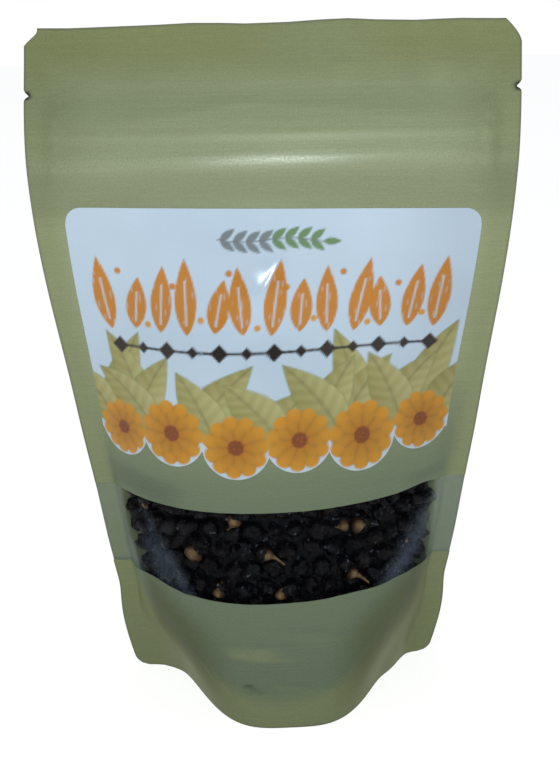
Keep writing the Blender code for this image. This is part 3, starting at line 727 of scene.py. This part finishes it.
film = {
    "tuckedUnder": 0.004,    # how far it runs on behind the kraft
    "tuckBlend": 0.001,
    "thickness": 0.00008,
    "inside": 0.00003,       # how far it lies inside the kraft's outer face
    "apart": 0.00002,
    "shortBy": 0.0002,
    "spacing": 0.0009,
    "sockets": {"Roughness": 0.13, "IOR": 1.17},
    "smear": (26, (1, 2.4, 1), 3),
    "smearSpread": (0.88, 1.12),
    "bump": (0.08, 0.0006),
    # the cool colour is the painted sheen's; the green is the film's over the kraft near the seals, and the painted
    # light at the window's ends
    "cool": (0.21, 0.26, 0.34, 1),
    "green": (0.36, 0.43, 0.35, 1),
    "greenFrom": (0.0565, 0.0615),
    "clear": 0.0015,
    # painted light: a pale green haze at the window's ends lightens the shaded gap between the sheets
    "atEnds": 0.34,
    "endsFrom": (0.0615, 0.0665),
    "overSeal": (0.17, 0.27),    # left, right
    "overSealFrom": (-0.003, 0.001),
    # painted sheen: pale streaks standing in for the film's reflections along its tension folds: s, t, turn in
    # degrees, half length, half width (mm), strength
    "sheenStreaks": ((-37.5, 54.5, -62, 11, 2.2, 0.075), (-48, 70, -66, 9, 2.0, 0.040), (-46, 57, -58, 10, 5.5, 0.085),
                (-62.0, 53, 94, 8, 2.8, 0.30), (45, 50.5, 44, 9, 3.2, 0.110), (55, 60.5, 52, 12, 5.2, 0.085),
                (61, 68, 62, 10, 4.5, 0.045)),
}


def filmHazeAndSheen(s, t):
    # real haze, with painted sheen streaks and a painted pale green haze at the window's ends
    hazeAndSheen = film["clear"] + film["atEnds"] * softStep(np.abs(s), *film["endsFrom"]) + ovals(film["sheenStreaks"], s, t)
    overSeal = softStep(np.abs(s) - sealStart, *film["overSealFrom"])
    return hazeAndSheen * (1 - overSeal) + np.where(s < 0, *film["overSeal"]) * overSeal


def filmMaterial():
    material, tree, shader = newMaterial("windowFilm", film["sockets"])
    smear = noiseOn(tree, sheetMap(tree), *film["smear"])
    feed(tree, shader, {
        "Base Color": mixColour(tree, attribute(tree, "nearSeal"), film["cool"], film["green"]),
        "Alpha": maths(tree, "MULTIPLY", attribute(tree, "hazeAndSheen"), spread(tree, smear, *film["smearSpread"])),
        "Normal": bumpFrom(tree, smear, *film["bump"]),
    })
    return material


def makeFilm():
    low, high = pouch["windowLow"] - film["tuckedUnder"], pouch["windowHigh"] + film["tuckedUnder"]
    piece, u, v = gridPiece("clearFilm", pouch["width"], high - low, film["spacing"])
    s, t = (u - 0.5) * (pouch["width"] - film["shortBy"]), low + (high - low) * v
    tucked = np.maximum(softStep(t - pouch["windowHigh"], 0, film["tuckBlend"]),
                        softStep(pouch["windowLow"] - t, 0, film["tuckBlend"]))
    flush = (pouch["skin"] - film["thickness"]) / 2 - film["inside"]
    behind = flush + (film["thickness"] + film["apart"]) * tucked * (1 - sealedShare(s, t))
    placeVertices(piece, sheetPoint(s, t, front, behind), s, t)
    addShares(piece, {"hazeAndSheen": filmHazeAndSheen(s, t), "nearSeal": softStep(np.abs(s), *film["greenFrom"])})
    thicken(piece, film["thickness"])
    finishPiece(piece, filmMaterial(), "clear_film", "window_film")


makeFilm()


# The bottom gusset

gusset = {
    "foldRadius": 0.00022,
    "foldFlat": 0.6,         # how flat the fold is in the side seals, next to a round one
    "foldTurn": 0.0010,
    "creasePower": 2.4,
    "footPress": 0.0012,
    "spacing": 0.0014,
    "shortBy": 0.0006,
    "thinner": 0.9,
    "legRows": 14,
    "webRows": 60,
    "mapLength": 0.2,        # of its UV map
}


def webHeight(s):
    reach = min(abs(s) / sealStart, 1.0)
    atSide = float(readGrid(bent["z"], np.array(s), np.array(pouch["gussetFold"]))) + gusset["foldRadius"]
    return atSide * reach ** gusset["creasePower"] - gusset["footPress"] * (1 - reach)


def gussetColumn(s):
    # One line of points up the front leg, over the web and down the back leg
    corner = pouch["footCorner"]
    over = max(abs(s) - (halfWidth - corner), 0)
    foot = corner - math.sqrt(max(corner ** 2 - over ** 2, 0)) + pouch["skin"]
    top = float(sealLine(s))
    leg = np.linspace(foot, top - gusset["foldTurn"], gusset["legRows"])
    legs = [sheetPoint(s, leg, front, pouch["skin"]), sheetPoint(s, leg[::-1], back, pouch["skin"])]
    ends = [sheetPoint(s, top, side, pouch["skin"]) for side in (front, back)]
    if abs(s) >= sealStart:
        angles = np.linspace(0, math.pi, gusset["webRows"] + 2)
        arch = np.stack([0 * angles, -np.cos(angles), np.sin(angles)], 1) * gusset["foldRadius"] * gusset["foldFlat"]
        return np.vstack([legs[0], (ends[0] + ends[1]) / 2 + arch, legs[1]])
    start = 1 - gusset["foldTurn"] * 2 / max(ends[1][1] - ends[0][1], gusset["foldTurn"] * 2.5)
    turns = np.linspace(-start, start, gusset["webRows"])
    web = ends[0] + (ends[1] - ends[0]) * (turns[:, None] + 1) / 2
    crease = webHeight(s)
    web[:, 2] = crease + (web[:, 2] - crease) * turns ** 2
    bends = [(leg + near) / 4 + end / 2
             for leg, near, end in zip((legs[0][-1], legs[1][0]), (web[0], web[-1]), ends)]
    return np.vstack([legs[0], bends[0], web, bends[1], legs[1]])


def makeGusset():
    leg = gusset["legRows"]
    rows = leg * 2 + gusset["webRows"] + 2
    piece, u, v = gridPiece("footGusset", pouch["width"], (rows - 1) * gusset["spacing"], gusset["spacing"])
    columns = np.unique(np.round(u, 6))
    grid = np.array([gussetColumn((c - 0.5) * (pouch["width"] - gusset["shortBy"])) for c in columns])
    j = np.round(v * (rows - 1)).astype(int)
    points = grid[np.searchsorted(columns, np.round(u, 6)), j]
    points[:, 2] = np.maximum(points[:, 2], pouch["skin"] / 2)
    placeVertices(piece, points, (u - 0.5) * pouch["width"], v * gusset["mapLength"])
    addShares(piece, {"bonded": (j < leg) | (j >= rows - leg), "filled": np.ones(len(j)), "low": np.ones(len(j))})
    thicken(piece, pouch["skin"] * gusset["thinner"])
    finishPiece(piece, kraftPaper, "kraft", "bottom_gusset")


makeGusset()


# The label: rounded top corners, and a lower edge cut round the flowers

label = {
    "top": 0.1851,
    "middle": 0.0004,
    "half": 0.0663,
    "turn": 0.0196,          # stuck on a little clockwise, in radians
    "corner": 0.0055,
    "hem": 0.0805,
    "stretch": 1.08,         # a column's length over the hem's, for the number of rows
    "thickness": 0.00010,
    "lift": 0.00002,
    "spacing": 0.00052,
    "edgeBlur": 0.00030,
    "rim": 0.00035,          # the unprinted border along the cut
    "rightShade": 0.13,      # painted shade: how much the paper darkens towards its right edge, and from where
    "shadeFrom": (0.036, 0.066),
    "paper": (0.485, 0.580, 0.665),
    "orange": (0.50, 0.18, 0.004),
    "deepOrange": (0.30, 0.070, 0.003),
    "yellow": (0.58, 0.26, 0.012),
    "straw": (0.25, 0.22, 0.060),
    "paleStraw": (0.43, 0.40, 0.170),
    "green": (0.10, 0.20, 0.05),
    "grey": (0.15, 0.17, 0.17),
    "ink": (0.020, 0.014, 0.010),
    # flowers on the lower edge: across, below the label's top, radius
    "flowers": ((-0.0556, 0.0782, 0.0106), (-0.0345, 0.0760, 0.0123), (-0.0115, 0.0792, 0.0118),
                (0.0100, 0.0772, 0.0117), (0.0325, 0.0782, 0.0127), (0.0552, 0.0760, 0.0111)),
    # leaves behind them: across and below the top (mm), lean in degrees, length (mm)
    # the flowers' rings: how many petals, how far turned, how far out, how bright; and the heart's size
    "petals": ((11, 0, 0.97, 1.0), (9, 0.2, 0.68, 0.86)),
    "heart": 0.24,
    "leaves": ((-58.5, 80, 6, 34), (-44, 80, -8, 34), (33, 80, -4, 35), (52, 80, 4, 36), (22, 80, 22, 30),
               (-59, 80, -20, 25), (-50, 79, 14, 28), (-40, 78, -34, 27), (-27.5, 78, 26, 29),
               (-18, 80, -16, 25), (-4, 80, 30, 23), (3.5, 78, -30, 24), (16, 78, 12, 26),
               (26, 79, -26, 30), (39, 79, 22, 29), (48, 78, -14, 27), (60, 78, 16, 26)),
    "leafWidth": 0.0150,
    "leafCurl": 0.22,
    # a row of plumes: how many, the first, their pitch and width; heights, feet, leans, and seeds' places
    "plumes": (13, -0.0555, 0.00925, 0.0073),
    "plumeHeights": (0.0255, 0.0180, 0.0225),
    "plumeFeet": (0.0412, 0.0402, 0.0408),
    "plumeLeans": (-7, 5, 2, -3, 8),
    "rib": (0.00028, 0.0033, 0.12, 0.72),    # a plume's: half width, its pace across, first and last share
    "seeds": (0.0205, 0.0385, 0.0250, 0.0360),
    "seedRadius": 0.0011,
    "seedAside": 0.0046,
    # a rule with diamonds: how far down, its middle, its half length and width, the diamonds' pitch and sizes
    "rule": (0.0468, 0.001, 0.0565, 0.00045),
    "diamonds": (0.0090, 0.0031, 0.0021),
    # a sprig: leaf pairs, the first one's place, their pitch, how far down, its waver; leaf length and width
    "sprig": (8, -0.0165, 0.0041, 0.0098, 0.0007),
    "sprigLeaf": (0.0058, 0.0024),
    "sockets": {"Roughness": 0.17, "IOR": 1.40},
    "grain": (700, (1, 1, 1), 1),
    "cloud": (9, (1, 1, 1), 2),
    "dimples": (90, (1, 1, 1), 2),
    "toneSpread": (0.97, 1.03),
    "bump": (0.12, 0.0002),
}


def labelHem(p):
    hem = np.full(np.shape(p), label["hem"])
    for centre, drop, radius in label["flowers"]:
        inside = np.clip(radius ** 2 - (p - centre) ** 2, 0, None)
        hem = np.where(inside > 0, np.maximum(hem, drop + np.sqrt(inside)), hem)
    return hem


def inkShare(inside):
    # Distance inside an outline, in metres, made a soft-edged cover
    return softStep(inside, -label["edgeBlur"], label["edgeBlur"])


def blend(a, b, share):
    return np.asarray(a) * (1 - share[:, None]) + np.asarray(b) * share[:, None]


def layInk(canvas, cover, colour):
    canvas[:] = blend(canvas, colour, cover)


def leafAt(p, d, root, turn, length, width, curl=0.0):
    # Places along and across a leaf, from its root towards its tip, and how far inside it a point lies
    a = math.radians(turn)
    along = (p - root[0]) * math.sin(a) - (d - root[1]) * math.cos(a)
    across = (p - root[0]) * math.cos(a) + (d - root[1]) * math.sin(a)
    across = across - curl * along * along / length
    share = np.clip(along / length, 0, 1)
    half = width / 2 * np.sin(math.pi * share ** 0.8) ** 0.9
    return share, across / (width / 2), np.minimum(half - np.abs(across), np.minimum(along, length - along))


def drawSprig(canvas, p, d):
    pairs, first, pitch, down, waver = label["sprig"]
    for k in range(pairs + 1):
        root = (first + pitch * k, down + waver * math.sin(k * 0.9))
        for turn in (52, 128) if k < pairs else (90,):
            _, _, inside = leafAt(p, d, root, turn, *label["sprigLeaf"])
            layInk(canvas, inkShare(inside) * 0.92, label["grey" if k < pairs / 2 else "green"])
    stem = 0.00022 - np.abs(d - down - waver * np.sin((p - first) / pitch * 0.9))
    layInk(canvas, inkShare(np.minimum(stem, np.minimum(p + 0.0175, 0.0165 - p))) * 0.9, label["grey"])


def drawPlumes(canvas, p, d):
    # Tall and short by turns, brushed, with a seed between each pair
    brushed = 0.97 - 0.36 * softStep(np.sin(p * 3300 + 2.2 * np.sin(d * 260)) * np.sin(d * 330 + p * 900), 0.72, 1)
    count, first, pitch, width = label["plumes"]
    for k in range(count):
        x = first + pitch * k
        share, across, inside = leafAt(p, d, (x, label["plumeFeet"][k % 3]), label["plumeLeans"][k % 5],
                                       label["plumeHeights"][k % 3], width, 0.03)
        half, pace, start, end = label["rib"]
        rib = inkShare(half - np.abs(across) * pace) * (share > start) * (share < end)
        layInk(canvas, inkShare(inside) * brushed * (1 - 0.85 * rib), label["orange"])
        seed = label["seedRadius"] - np.hypot(p - x - label["seedAside"], d - label["seeds"][k % 4])
        if k < count - 1:
            layInk(canvas, inkShare(seed) * 0.95, label["yellow" if k % 2 else "orange"])


def drawRule(canvas, p, d):
    down, middle, reach, thin = label["rule"]
    pitch, large, small = label["diamonds"]
    layInk(canvas, inkShare(np.minimum(thin - np.abs(d - down), reach - np.abs(p - middle))), label["ink"])
    for k in range(-6, 7):
        diamond = (small if k % 2 else large) - np.abs(p - middle - pitch * k) - np.abs(d - down)
        layInk(canvas, inkShare(diamond * 0.7), label["ink"])


def drawLeaves(canvas, p, d):
    for x, low, turn, length in label["leaves"]:
        curl = math.copysign(label["leafCurl"], turn)
        share, across, inside = leafAt(p, d, (x / 1000, low / 1000), turn, length * 0.00116, label["leafWidth"], curl)
        veins = 0.5 + 0.5 * np.cos(share * 46 - np.abs(across) * 7)
        rib = np.exp(-(across / 0.07) ** 2)
        tone = blend(label["straw"], label["paleStraw"], np.clip(0.35 + 0.4 * across + 0.25 * veins, 0, 1))
        layInk(canvas, inkShare(inside), tone * (1 - 0.28 * rib[:, None]))
        layInk(canvas, inkShare(0.00025 - np.abs(inside)) * 0.35, label["green"])


def drawFlowers(canvas, p, d):
    # Two rings of petals round a dotted heart; every other flower lies over its neighbours
    for k in (0, 2, 4, 1, 3, 5):
        centre, drop, radius = label["flowers"][k]
        out = np.hypot(p - centre, d - drop)
        turn = np.arctan2(d - drop, p - centre) + 0.6 * k
        for petals, offset, reach, shade in label["petals"]:
            lobe = np.abs(np.cos(petals / 2 * (turn + offset)))
            edge = radius * reach * (0.83 + 0.17 * lobe ** 0.6)
            tone = blend(label["orange"], label["yellow"], np.clip((out / edge - 0.25) / 0.75, 0, 1))
            layInk(canvas, inkShare(edge - out), tone * shade * (0.62 + 0.38 * lobe[:, None] ** 0.35))
        dots = 0.7 + 0.3 * np.cos(turn * 9) * np.cos(out / radius * 60)
        layInk(canvas, inkShare(radius * label["heart"] - out), np.asarray(label["deepOrange"]) * dots[:, None])


def printLabel(p, d):
    canvas = np.tile(np.asarray(label["paper"]), (len(p), 1))
    for draw in (drawLeaves, drawFlowers, drawRule, drawPlumes, drawSprig):
        draw(canvas, p, d)
    layInk(canvas, 1 - inkShare(labelHem(p) - d - label["rim"]), np.asarray(label["paper"]) * 1.05)
    return canvas * (1 - label["rightShade"] * softStep(p, *label["shadeFrom"]))[:, None]


def labelMaterial():
    material, tree, shader = newMaterial("labelPaper", label["sockets"])
    flat = sheetMap(tree)
    grain, cloud, dimples = (noiseOn(tree, flat, *label[k]) for k in ("grain", "cloud", "dimples"))
    tone = maths(tree, "MULTIPLY", *(spread(tree, noise, *label["toneSpread"]) for noise in (grain, cloud)))
    feed(tree, shader, {
        "Base Color": shadeColour(tree, addNode(tree, "Attribute", "Color", attribute_name="print"), tone),
        "Normal": bumpFrom(tree, dimples, *label["bump"]),
    })
    return material


def makeLabel():
    piece, u, v = gridPiece("frontLabel", label["half"] * 2, label["hem"] * label["stretch"], label["spacing"])
    p = (u - 0.5) * 2 * label["half"]
    corner = np.clip(np.abs(p) - (label["half"] - label["corner"]), 0, None)
    upper = label["corner"] - np.sqrt(np.clip(label["corner"] ** 2 - corner ** 2, 0, None))
    d = upper + (labelHem(p) - upper) * (1 - v)
    s = label["middle"] + p * math.cos(label["turn"]) - d * math.sin(label["turn"])
    t = label["top"] - d * math.cos(label["turn"]) - p * math.sin(label["turn"])
    outward = (pouch["skin"] + label["thickness"]) / 2 + label["lift"]
    placeVertices(piece, sheetPoint(s, t, front, -outward), s, t)
    layer = piece.data.attributes.new("print", "FLOAT_COLOR", "POINT")
    colours = np.concatenate([printLabel(p, d), np.ones((len(p), 1))], 1)
    layer.data.foreach_set("color", colours.astype(np.float32).ravel())
    thicken(piece, label["thickness"])
    finishPiece(piece, labelMaterial(), "label_paper", "label")


makeLabel()


# Dried fruit

fruit = {
    "seed": 7,
    "radius": 0.0047,
    "pitch": 0.0082,
    "rowStep": 0.87,
    "jitter": 0.0011,
    "sizes": (0.86, 1.08),
    "layers": ((0.80, 1.0), (1.9, 0.8)),    # how deep behind the sheet, and how large, in berry radii
    "clearance": 0.00045,    # from the sheets' middle surfaces
    "top": 0.092,
    "low": 0.016,
    "shownBeyond": 0.005,    # berries are finer in the window, and this far past its edges
    "ends": {                # how far the heap reaches sideways, at heights on the sheet
        -1: ((0.0, 0.0520), (0.045, 0.0615), (0.056, 0.0622), (0.0625, 0.0632), (0.0690, 0.0668),
             (0.0780, 0.0665), (0.0830, 0.0600), (0.100, 0.0560)),
        1: ((0.0, 0.0520), (0.045, 0.0620), (0.053, 0.0655), (0.063, 0.0675), (0.073, 0.0670),
            (0.082, 0.0622), (0.100, 0.0580)),
    },
    # how deep, how close and how many the creases in a berry's skin are
    "creases": ((0.20, 2.3, 3), (0.13, 4.6, 4), (0.06, 9.5, 5)),
    "creaseBend": (1.1, 3.4),
    "swell": (0.07, 3),
    "lengths": ((0.92, 1.22), (0.72, 0.98), (0.82, 1.10)),    # a berry's three, next to a ball's
    "mound": 0.007,
    "moundHalf": 0.063,
    # the core: half span, depth, share of the room, height above the seal, rings, points up each
    "core": (0.050, 0.0045, 0.62, 0.004, 41, 24),
    "sockets": {"Roughness": 0.22, "IOR": 1.21},
    "patch": (260, (1, 1, 1), 3),
    "specks": (480, (1, 1, 1), 1),
    "fine": (1100, (1, 1, 1), 3),
    "fineDepth": 0.0006,
    "roughness": (0.14, 0.36),
    "colour": (0.0020, 0.0019, 0.0024, 1),
    "brown": (0.0075, 0.0040, 0.0038, 1),
    # painted glints: bluish-grey specks in the skin's colour
    "glintSpeck": (0.085, 0.095, 0.120, 1),
    "speckSpan": (0.70, 0.76),
    "sheenVeil": (0.009, 0.012, 0.016, 1),      # painted sheen and haze, where the film over it has them
    "sheenVeilFrom": (0.004, 0.090),
}

# for each level, the s at each x
limitGrid = np.array([np.interp(bent["s"], row, bent["s"]) for row in bent["x"]])


def placeOnSheet(points):
    t = np.interp(points[:, 2], bent["z"][:, 0], bent["t"])
    return readGrid(limitGrid, np.clip(points[:, 0], -halfWidth, halfWidth), t), t


def keepInside(points):
    # Berries press flat against the sheets, and never through them
    s, t = placeOnSheet(points)
    low, high = (sheetDepth(s, t, side) for side in (front, back))
    low = low + fruit["clearance"]
    points[:, 1] = np.clip(points[:, 1], low, np.maximum(high - fruit["clearance"], low))
    return points


def berryShape(subdivisions):
    bpy.ops.object.select_all(action="DESELECT")
    bpy.ops.mesh.primitive_ico_sphere_add(subdivisions=subdivisions, radius=1, location=(0, 0, 0))
    return takeShape(bpy.context.object)


def takeShape(piece):
    points = np.array([vertex.co for vertex in piece.data.vertices])
    faces = [tuple(face.vertices) for face in piece.data.polygons]
    bpy.data.objects.remove(piece)
    return points, faces


def anyWay(draw, size):
    return np.array([draw.uniform(-size, size) for _ in range(3)])


def wrinkle(points, draw):
    # A dried berry's skin: folds that run from end to end, crossed by finer ones
    turned = np.array(Matrix.Rotation(draw.uniform(0, math.tau), 3, "Z")
                      @ Matrix.Rotation(draw.uniform(0, math.tau), 3, "X"))
    stretch = np.array([draw.uniform(*span) for span in fruit["lengths"]])
    swell, pace = fruit["swell"]
    radius = 1.0 + swell * np.sin(points @ anyWay(draw, pace))
    most, turn = fruit["creaseBend"]
    for size, pace, count in fruit["creases"]:
        for _ in range(count):
            way = anyWay(draw, 1)
            wave = points @ (way / np.linalg.norm(way)) * pace + draw.uniform(0, math.tau)
            bend = most * np.sin(points @ anyWay(draw, turn))
            radius = radius - size * (1 - np.abs(np.sin(wave + bend))) ** 3
    return (points * radius[:, None] * stretch) @ turned.T


def heapEnd(s, t):
    heights, reach = np.array(fruit["ends"][1 if s > 0 else -1]).T
    return float(np.interp(t, heights, reach))


def sideBerries(draw, side, depth, share):
    # Rows of berries against one sheet
    radius, pitch, jitter = fruit["radius"], fruit["pitch"], fruit["jitter"]
    window = (pouch["windowLow"] - fruit["shownBeyond"], pouch["windowHigh"] + fruit["shownBeyond"])
    for i, t in enumerate(np.arange(fruit["low"], fruit["top"], pitch * fruit["rowStep"])):
        for s in np.arange(-8, 9) * pitch + (i % 2) * pitch / 2:
            s = s + draw.uniform(-jitter, jitter)
            level = t + draw.uniform(-jitter, jitter)
            reach = heapEnd(s, level) - radius * 0.85
            if level - radius * 0.8 < float(sealLine(s)) or abs(s) > reach + pitch * 0.5:
                continue
            centre = sheetPoint(max(min(s, reach), -reach), level, side, radius * depth + fruit["clearance"])
            shown = side == front and window[0] < level < window[1]
            yield centre, radius * share * draw.uniform(*fruit["sizes"]), shown


def topBerries(draw):
    # Rows over the heap's top
    for s in np.arange(-0.052, 0.053, fruit["pitch"]):
        near, far = (sheetPoint(s, fruit["top"], side, fruit["radius"]) for side in (front, back))
        steps = max(int((far[1] - near[1]) / fruit["pitch"]), 1)
        for k in range(steps):
            share = (k + draw.uniform(0.35, 0.65)) / steps
            rise = fruit["mound"] * max(1 - (s / fruit["moundHalf"]) ** 2, 0.1) * 4 * share * (1 - share)
            centre = near + (far - near) * share + np.array([draw.uniform(-0.001, 0.001), 0, rise])
            yield centre, fruit["radius"] * draw.uniform(*fruit["sizes"]), False


def makeCore():
    # The heap behind the berries, ring by ring across the pouch, closed by a fan at either end
    half, deep, share, above, count, up = fruit["core"]
    rings = []
    for s in np.linspace(-half, half, count):
        levels = np.linspace(fruit["top"] - 0.002, float(sealLine(s)) + above, up)
        depth = np.minimum(deep, readGrid(bent[front, "depth"], np.full(up, s), levels) * share)
        rings.append(np.vstack([sheetPoint(s, levels, front, depth), sheetPoint(s, levels[::-1], back, depth[::-1])]))
    around = up * 2
    faces = []
    for j in range(around):
        k = (j + 1) % around
        for ring in range(0, (count - 1) * around, around):
            faces += [(ring + j, ring + k, ring + k + around), (ring + j, ring + k + around, ring + j + around)]
        last = (count - 1) * around
        faces += [(k, j, last + around), (last + j, last + k, last + around + 1)]
    return np.vstack(rings + [rings[0].mean(0), rings[-1].mean(0)]), faces


def makeFruit():
    draw = random.Random(fruit["seed"])
    fine, coarse = berryShape(3), berryShape(2)
    berries = [berry for side in (front, back) for depth, share in fruit["layers"]
               for berry in sideBerries(draw, side, depth, share)]
    berries += list(topBerries(draw))
    points, faces, tones, used = [], [], [], 0
    for centre, radius, shown in berries:
        shape, corners = fine if shown else coarse
        points.append(keepInside(wrinkle(shape, draw) * radius + centre))
        faces.append(np.array(corners) + used)
        tones.append(np.full(len(shape), draw.random()))
        used += len(shape)
    core, corners = makeCore()
    points.append(core)
    faces.append(np.array(corners) + used)
    tones.append(np.zeros(len(core)))
    points = np.vstack(points)
    mesh = bpy.data.meshes.new("driedFruit")
    mesh.from_pydata(points.tolist(), [], np.vstack(faces).tolist())
    piece = putInScene("driedFruit", mesh)
    # painted sheen: the berries take the film's haze and sheen streaks into their colour
    sheenVeiled = softStep(filmHazeAndSheen(*placeOnSheet(points)), *fruit["sheenVeilFrom"])
    addShares(piece, {"tone": np.concatenate(tones), "sheenVeiled": sheenVeiled})
    mesh.shade_smooth()
    finishPiece(piece, fruitMaterial(), "dried_fruit", "dried_fruit")
    print("fruit triangles", len(mesh.polygons))


def fruitMaterial():
    material, tree, shader = newMaterial("driedBerry", fruit["sockets"])
    here = objectPlace(tree)
    patch, specks, fine = (noiseOn(tree, here, *fruit[k]) for k in ("patch", "specks", "fine"))
    brown = maths(tree, "MULTIPLY", attribute(tree, "tone"), spread(tree, patch, 0.0, 1.0))
    # painted glints scattered over the skin
    glintSpeck = spread(tree, specks, 0.0, 1.0, fruit["speckSpan"])
    skin = mixColour(tree, brown, fruit["colour"], fruit["brown"])
    skin = mixColour(tree, glintSpeck, skin, fruit["glintSpeck"])
    sheenVeiled = attribute(tree, "sheenVeiled")
    clear = maths(tree, "SUBTRACT", 1.0, sheenVeiled)
    feed(tree, shader, {
        "Base Color": mixColour(tree, sheenVeiled, skin, fruit["sheenVeil"]),
        "Roughness": spread(tree, patch, *fruit["roughness"]),
        "Normal": bumpFrom(tree, fine, clear, fruit["fineDepth"]),
    })
    return material


makeFruit()


# Tan stubs where the berries were picked

stub = {
    "knob": 0.0028,
    "behindFilm": 0.0018,
    "flatness": 0.62,
    "lobes": 5,
    "lobeDepth": 0.20,
    "stemFrom": 0.85,        # above this height of the unit ball it is stem
    "topFrom": 0.93,
    # how each step of the stem is drawn out: rise, side step, width
    "stemSteps": ((0.28, 0.02, 0.80), (0.30, 0.06, 0.80), (0.42, 0.10, 0.90), (0.45, 0.14, 0.95),
                  (0.40, 0.12, 0.92), (0.18, 0.02, 0.60)),
    "rimFade": (0.15, 0.85),
    "stemTone": 0.75,
    "stemSide": 0.4,         # what is left of its side steps on a stem of no length
    "squash": 0.85,          # of the knob, and how far its rim sags
    "sag": 0.12,
    "sockets": {"Roughness": 0.55, "IOR": 1.22},
    "patch": (700, (1, 1, 1), 3),
    "paleSpread": (0.35, 1.15),
    "bump": (0.5, 0.0003),
    "colour": (0.030, 0.013, 0.006, 1),
    "pale": (0.230, 0.148, 0.062, 1),
    # s, t (mm), which way the stem points in degrees, its length and the knob's size
    "places": ((-14.7, 77.6, 205, 0.35, 1.00), (-31.1, 63.6, 30, 0.05, 1.25), (-3.2, 64.6, 114, 0.95, 0.90),
               (24.8, 73.2, 262, 0.30, 0.80), (30.6, 72.2, 95, 0.25, 1.05), (28.2, 54.3, 120, 1.35, 0.80),
               (-22.0, 49.6, 12, 0.55, 0.80), (1.1, 49.6, 15, 0.30, 0.84), (51.5, 60.0, 40, 0.10, 0.45),
               (-52.0, 77.5, 150, 0.10, 0.60)),
}


def stubMaterial():
    material, tree, shader = newMaterial("driedStub", stub["sockets"])
    patch = noiseOn(tree, objectPlace(tree), *stub["patch"])
    pale = maths(tree, "MULTIPLY", attribute(tree, "middle"), spread(tree, patch, *stub["paleSpread"]))
    feed(tree, shader, {"Base Color": mixColour(tree, pale, stub["colour"], stub["pale"]),
                        "Normal": bumpFrom(tree, patch, *stub["bump"])})
    return material


def pickTop(piece):
    # In edit mode: selects the ball's top faces, and gives the middle of them all
    bpy.ops.mesh.select_mode(type="FACE")
    bpy.ops.mesh.select_all(action="DESELECT")
    mesh = bmesh.from_edit_mesh(piece.data)
    chosen = [face for face in mesh.faces if face.calc_center_median().z > stub["topFrom"]]
    for face in chosen:
        face.select_set(True)
    bmesh.update_edit_mesh(piece.data)
    return sum((face.calc_center_median() for face in chosen), Vector()) / len(chosen)


def modelStub():
    # A ball, its top drawn out into a stem and its sides pinched into lobes
    bpy.ops.object.select_all(action="DESELECT")
    bpy.ops.mesh.primitive_uv_sphere_add(segments=20, ring_count=10, radius=1, location=(0, 0, 0))
    knob = bpy.context.object
    bpy.ops.object.mode_set(mode="EDIT")
    place = pickTop(knob)
    for rise, aside, width in stub["stemSteps"]:
        step = Vector((aside, 0, rise))
        bpy.ops.mesh.extrude_region_move(TRANSFORM_OT_translate={"value": step})
        place = place + step
        bpy.ops.transform.resize(value=(width, width, width), center_override=place)
    bpy.ops.object.mode_set(mode="OBJECT")
    for vertex in knob.data.vertices:
        x, y, z = vertex.co
        if z < stub["stemFrom"]:
            lobe = 1 + stub["lobeDepth"] * math.cos(stub["lobes"] * math.atan2(y, x)) * (1 - z * z)
            vertex.co = (x * lobe, y * lobe, z * stub["squash"] - stub["sag"] * math.hypot(x, y))
    return takeShape(knob)


def makeStubs():
    shape, corners = modelStub()
    points, faces, middle = [], [], []
    for number, (s, t, turn, length, size) in enumerate(stub["places"]):
        body = shape.copy()
        stem = body[:, 2] > stub["stemFrom"]
        body[stem, 2] = stub["stemFrom"] + (body[stem, 2] - stub["stemFrom"]) * length
        body[stem, 0] *= stub["stemSide"] + (1 - stub["stemSide"]) * length
        fromRim = 1 - softStep(np.hypot(body[:, 0], body[:, 2]), *stub["rimFade"])
        middle.append(np.where(stem, stub["stemTone"], fromRim))
        across, deep, along = (body * stub["knob"] * size).T
        a = math.radians(turn)
        points.append(sheetPoint(s / 1000 + along * math.sin(a) + across * math.cos(a),
                                 t / 1000 + along * math.cos(a) - across * math.sin(a), front,
                                 stub["behindFilm"] + deep * stub["flatness"]))
        faces += [tuple(c + number * len(shape) for c in face) for face in corners]
    mesh = bpy.data.meshes.new("fruitStubs")
    mesh.from_pydata(keepInside(np.vstack(points)).tolist(), [], faces)
    piece = putInScene("fruitStubs", mesh)
    addShares(piece, {"middle": np.concatenate(middle)})
    selectOnly(piece)
    bpy.ops.object.mode_set(mode="EDIT")
    bpy.ops.mesh.select_all(action="SELECT")
    bpy.ops.mesh.normals_make_consistent(inside=False)
    bpy.ops.object.mode_set(mode="OBJECT")
    smooth = piece.modifiers.new("round", "SUBSURF")
    smooth.levels = smooth.render_levels = 1
    bpy.ops.object.modifier_apply(modifier="round")
    mesh.shade_smooth()
    finishPiece(piece, stubMaterial(), "dried_fruit")


makeStubs()


# The zip strips stay as the frame has them

zipStrips = {
    "names": ("zip_strip_front", "zip_strip_back"),
    "sockets": {"Roughness": 0.34, "Transmission Weight": 0.3, "IOR": 1.5},
    "cloudScale": 90,
    "dim": (0.66, 0.68, 0.62, 1),
    "bright": (0.76, 0.78, 0.73, 1),
}


def zipMaterial():
    material, tree, shader = newMaterial("zipPlastic", zipStrips["sockets"])
    cloud = spread(tree, noiseOn(tree, objectPlace(tree), zipStrips["cloudScale"]), 0.0, 1.0)
    feed(tree, shader, {"Base Color": mixColour(tree, cloud, zipStrips["dim"], zipStrips["bright"])})
    return material


zipPlastic = zipMaterial()
for name in zipStrips["names"]:
    strip = frame["nodes"][name]
    strip.data.materials.clear()
    strip.data.materials.append(zipPlastic)

for piece in bpy.context.scene.objects:
    if piece.type == "MESH" and piece.name != "floor":
        pouchOnly.objects.link(piece)

print("all pieces made")
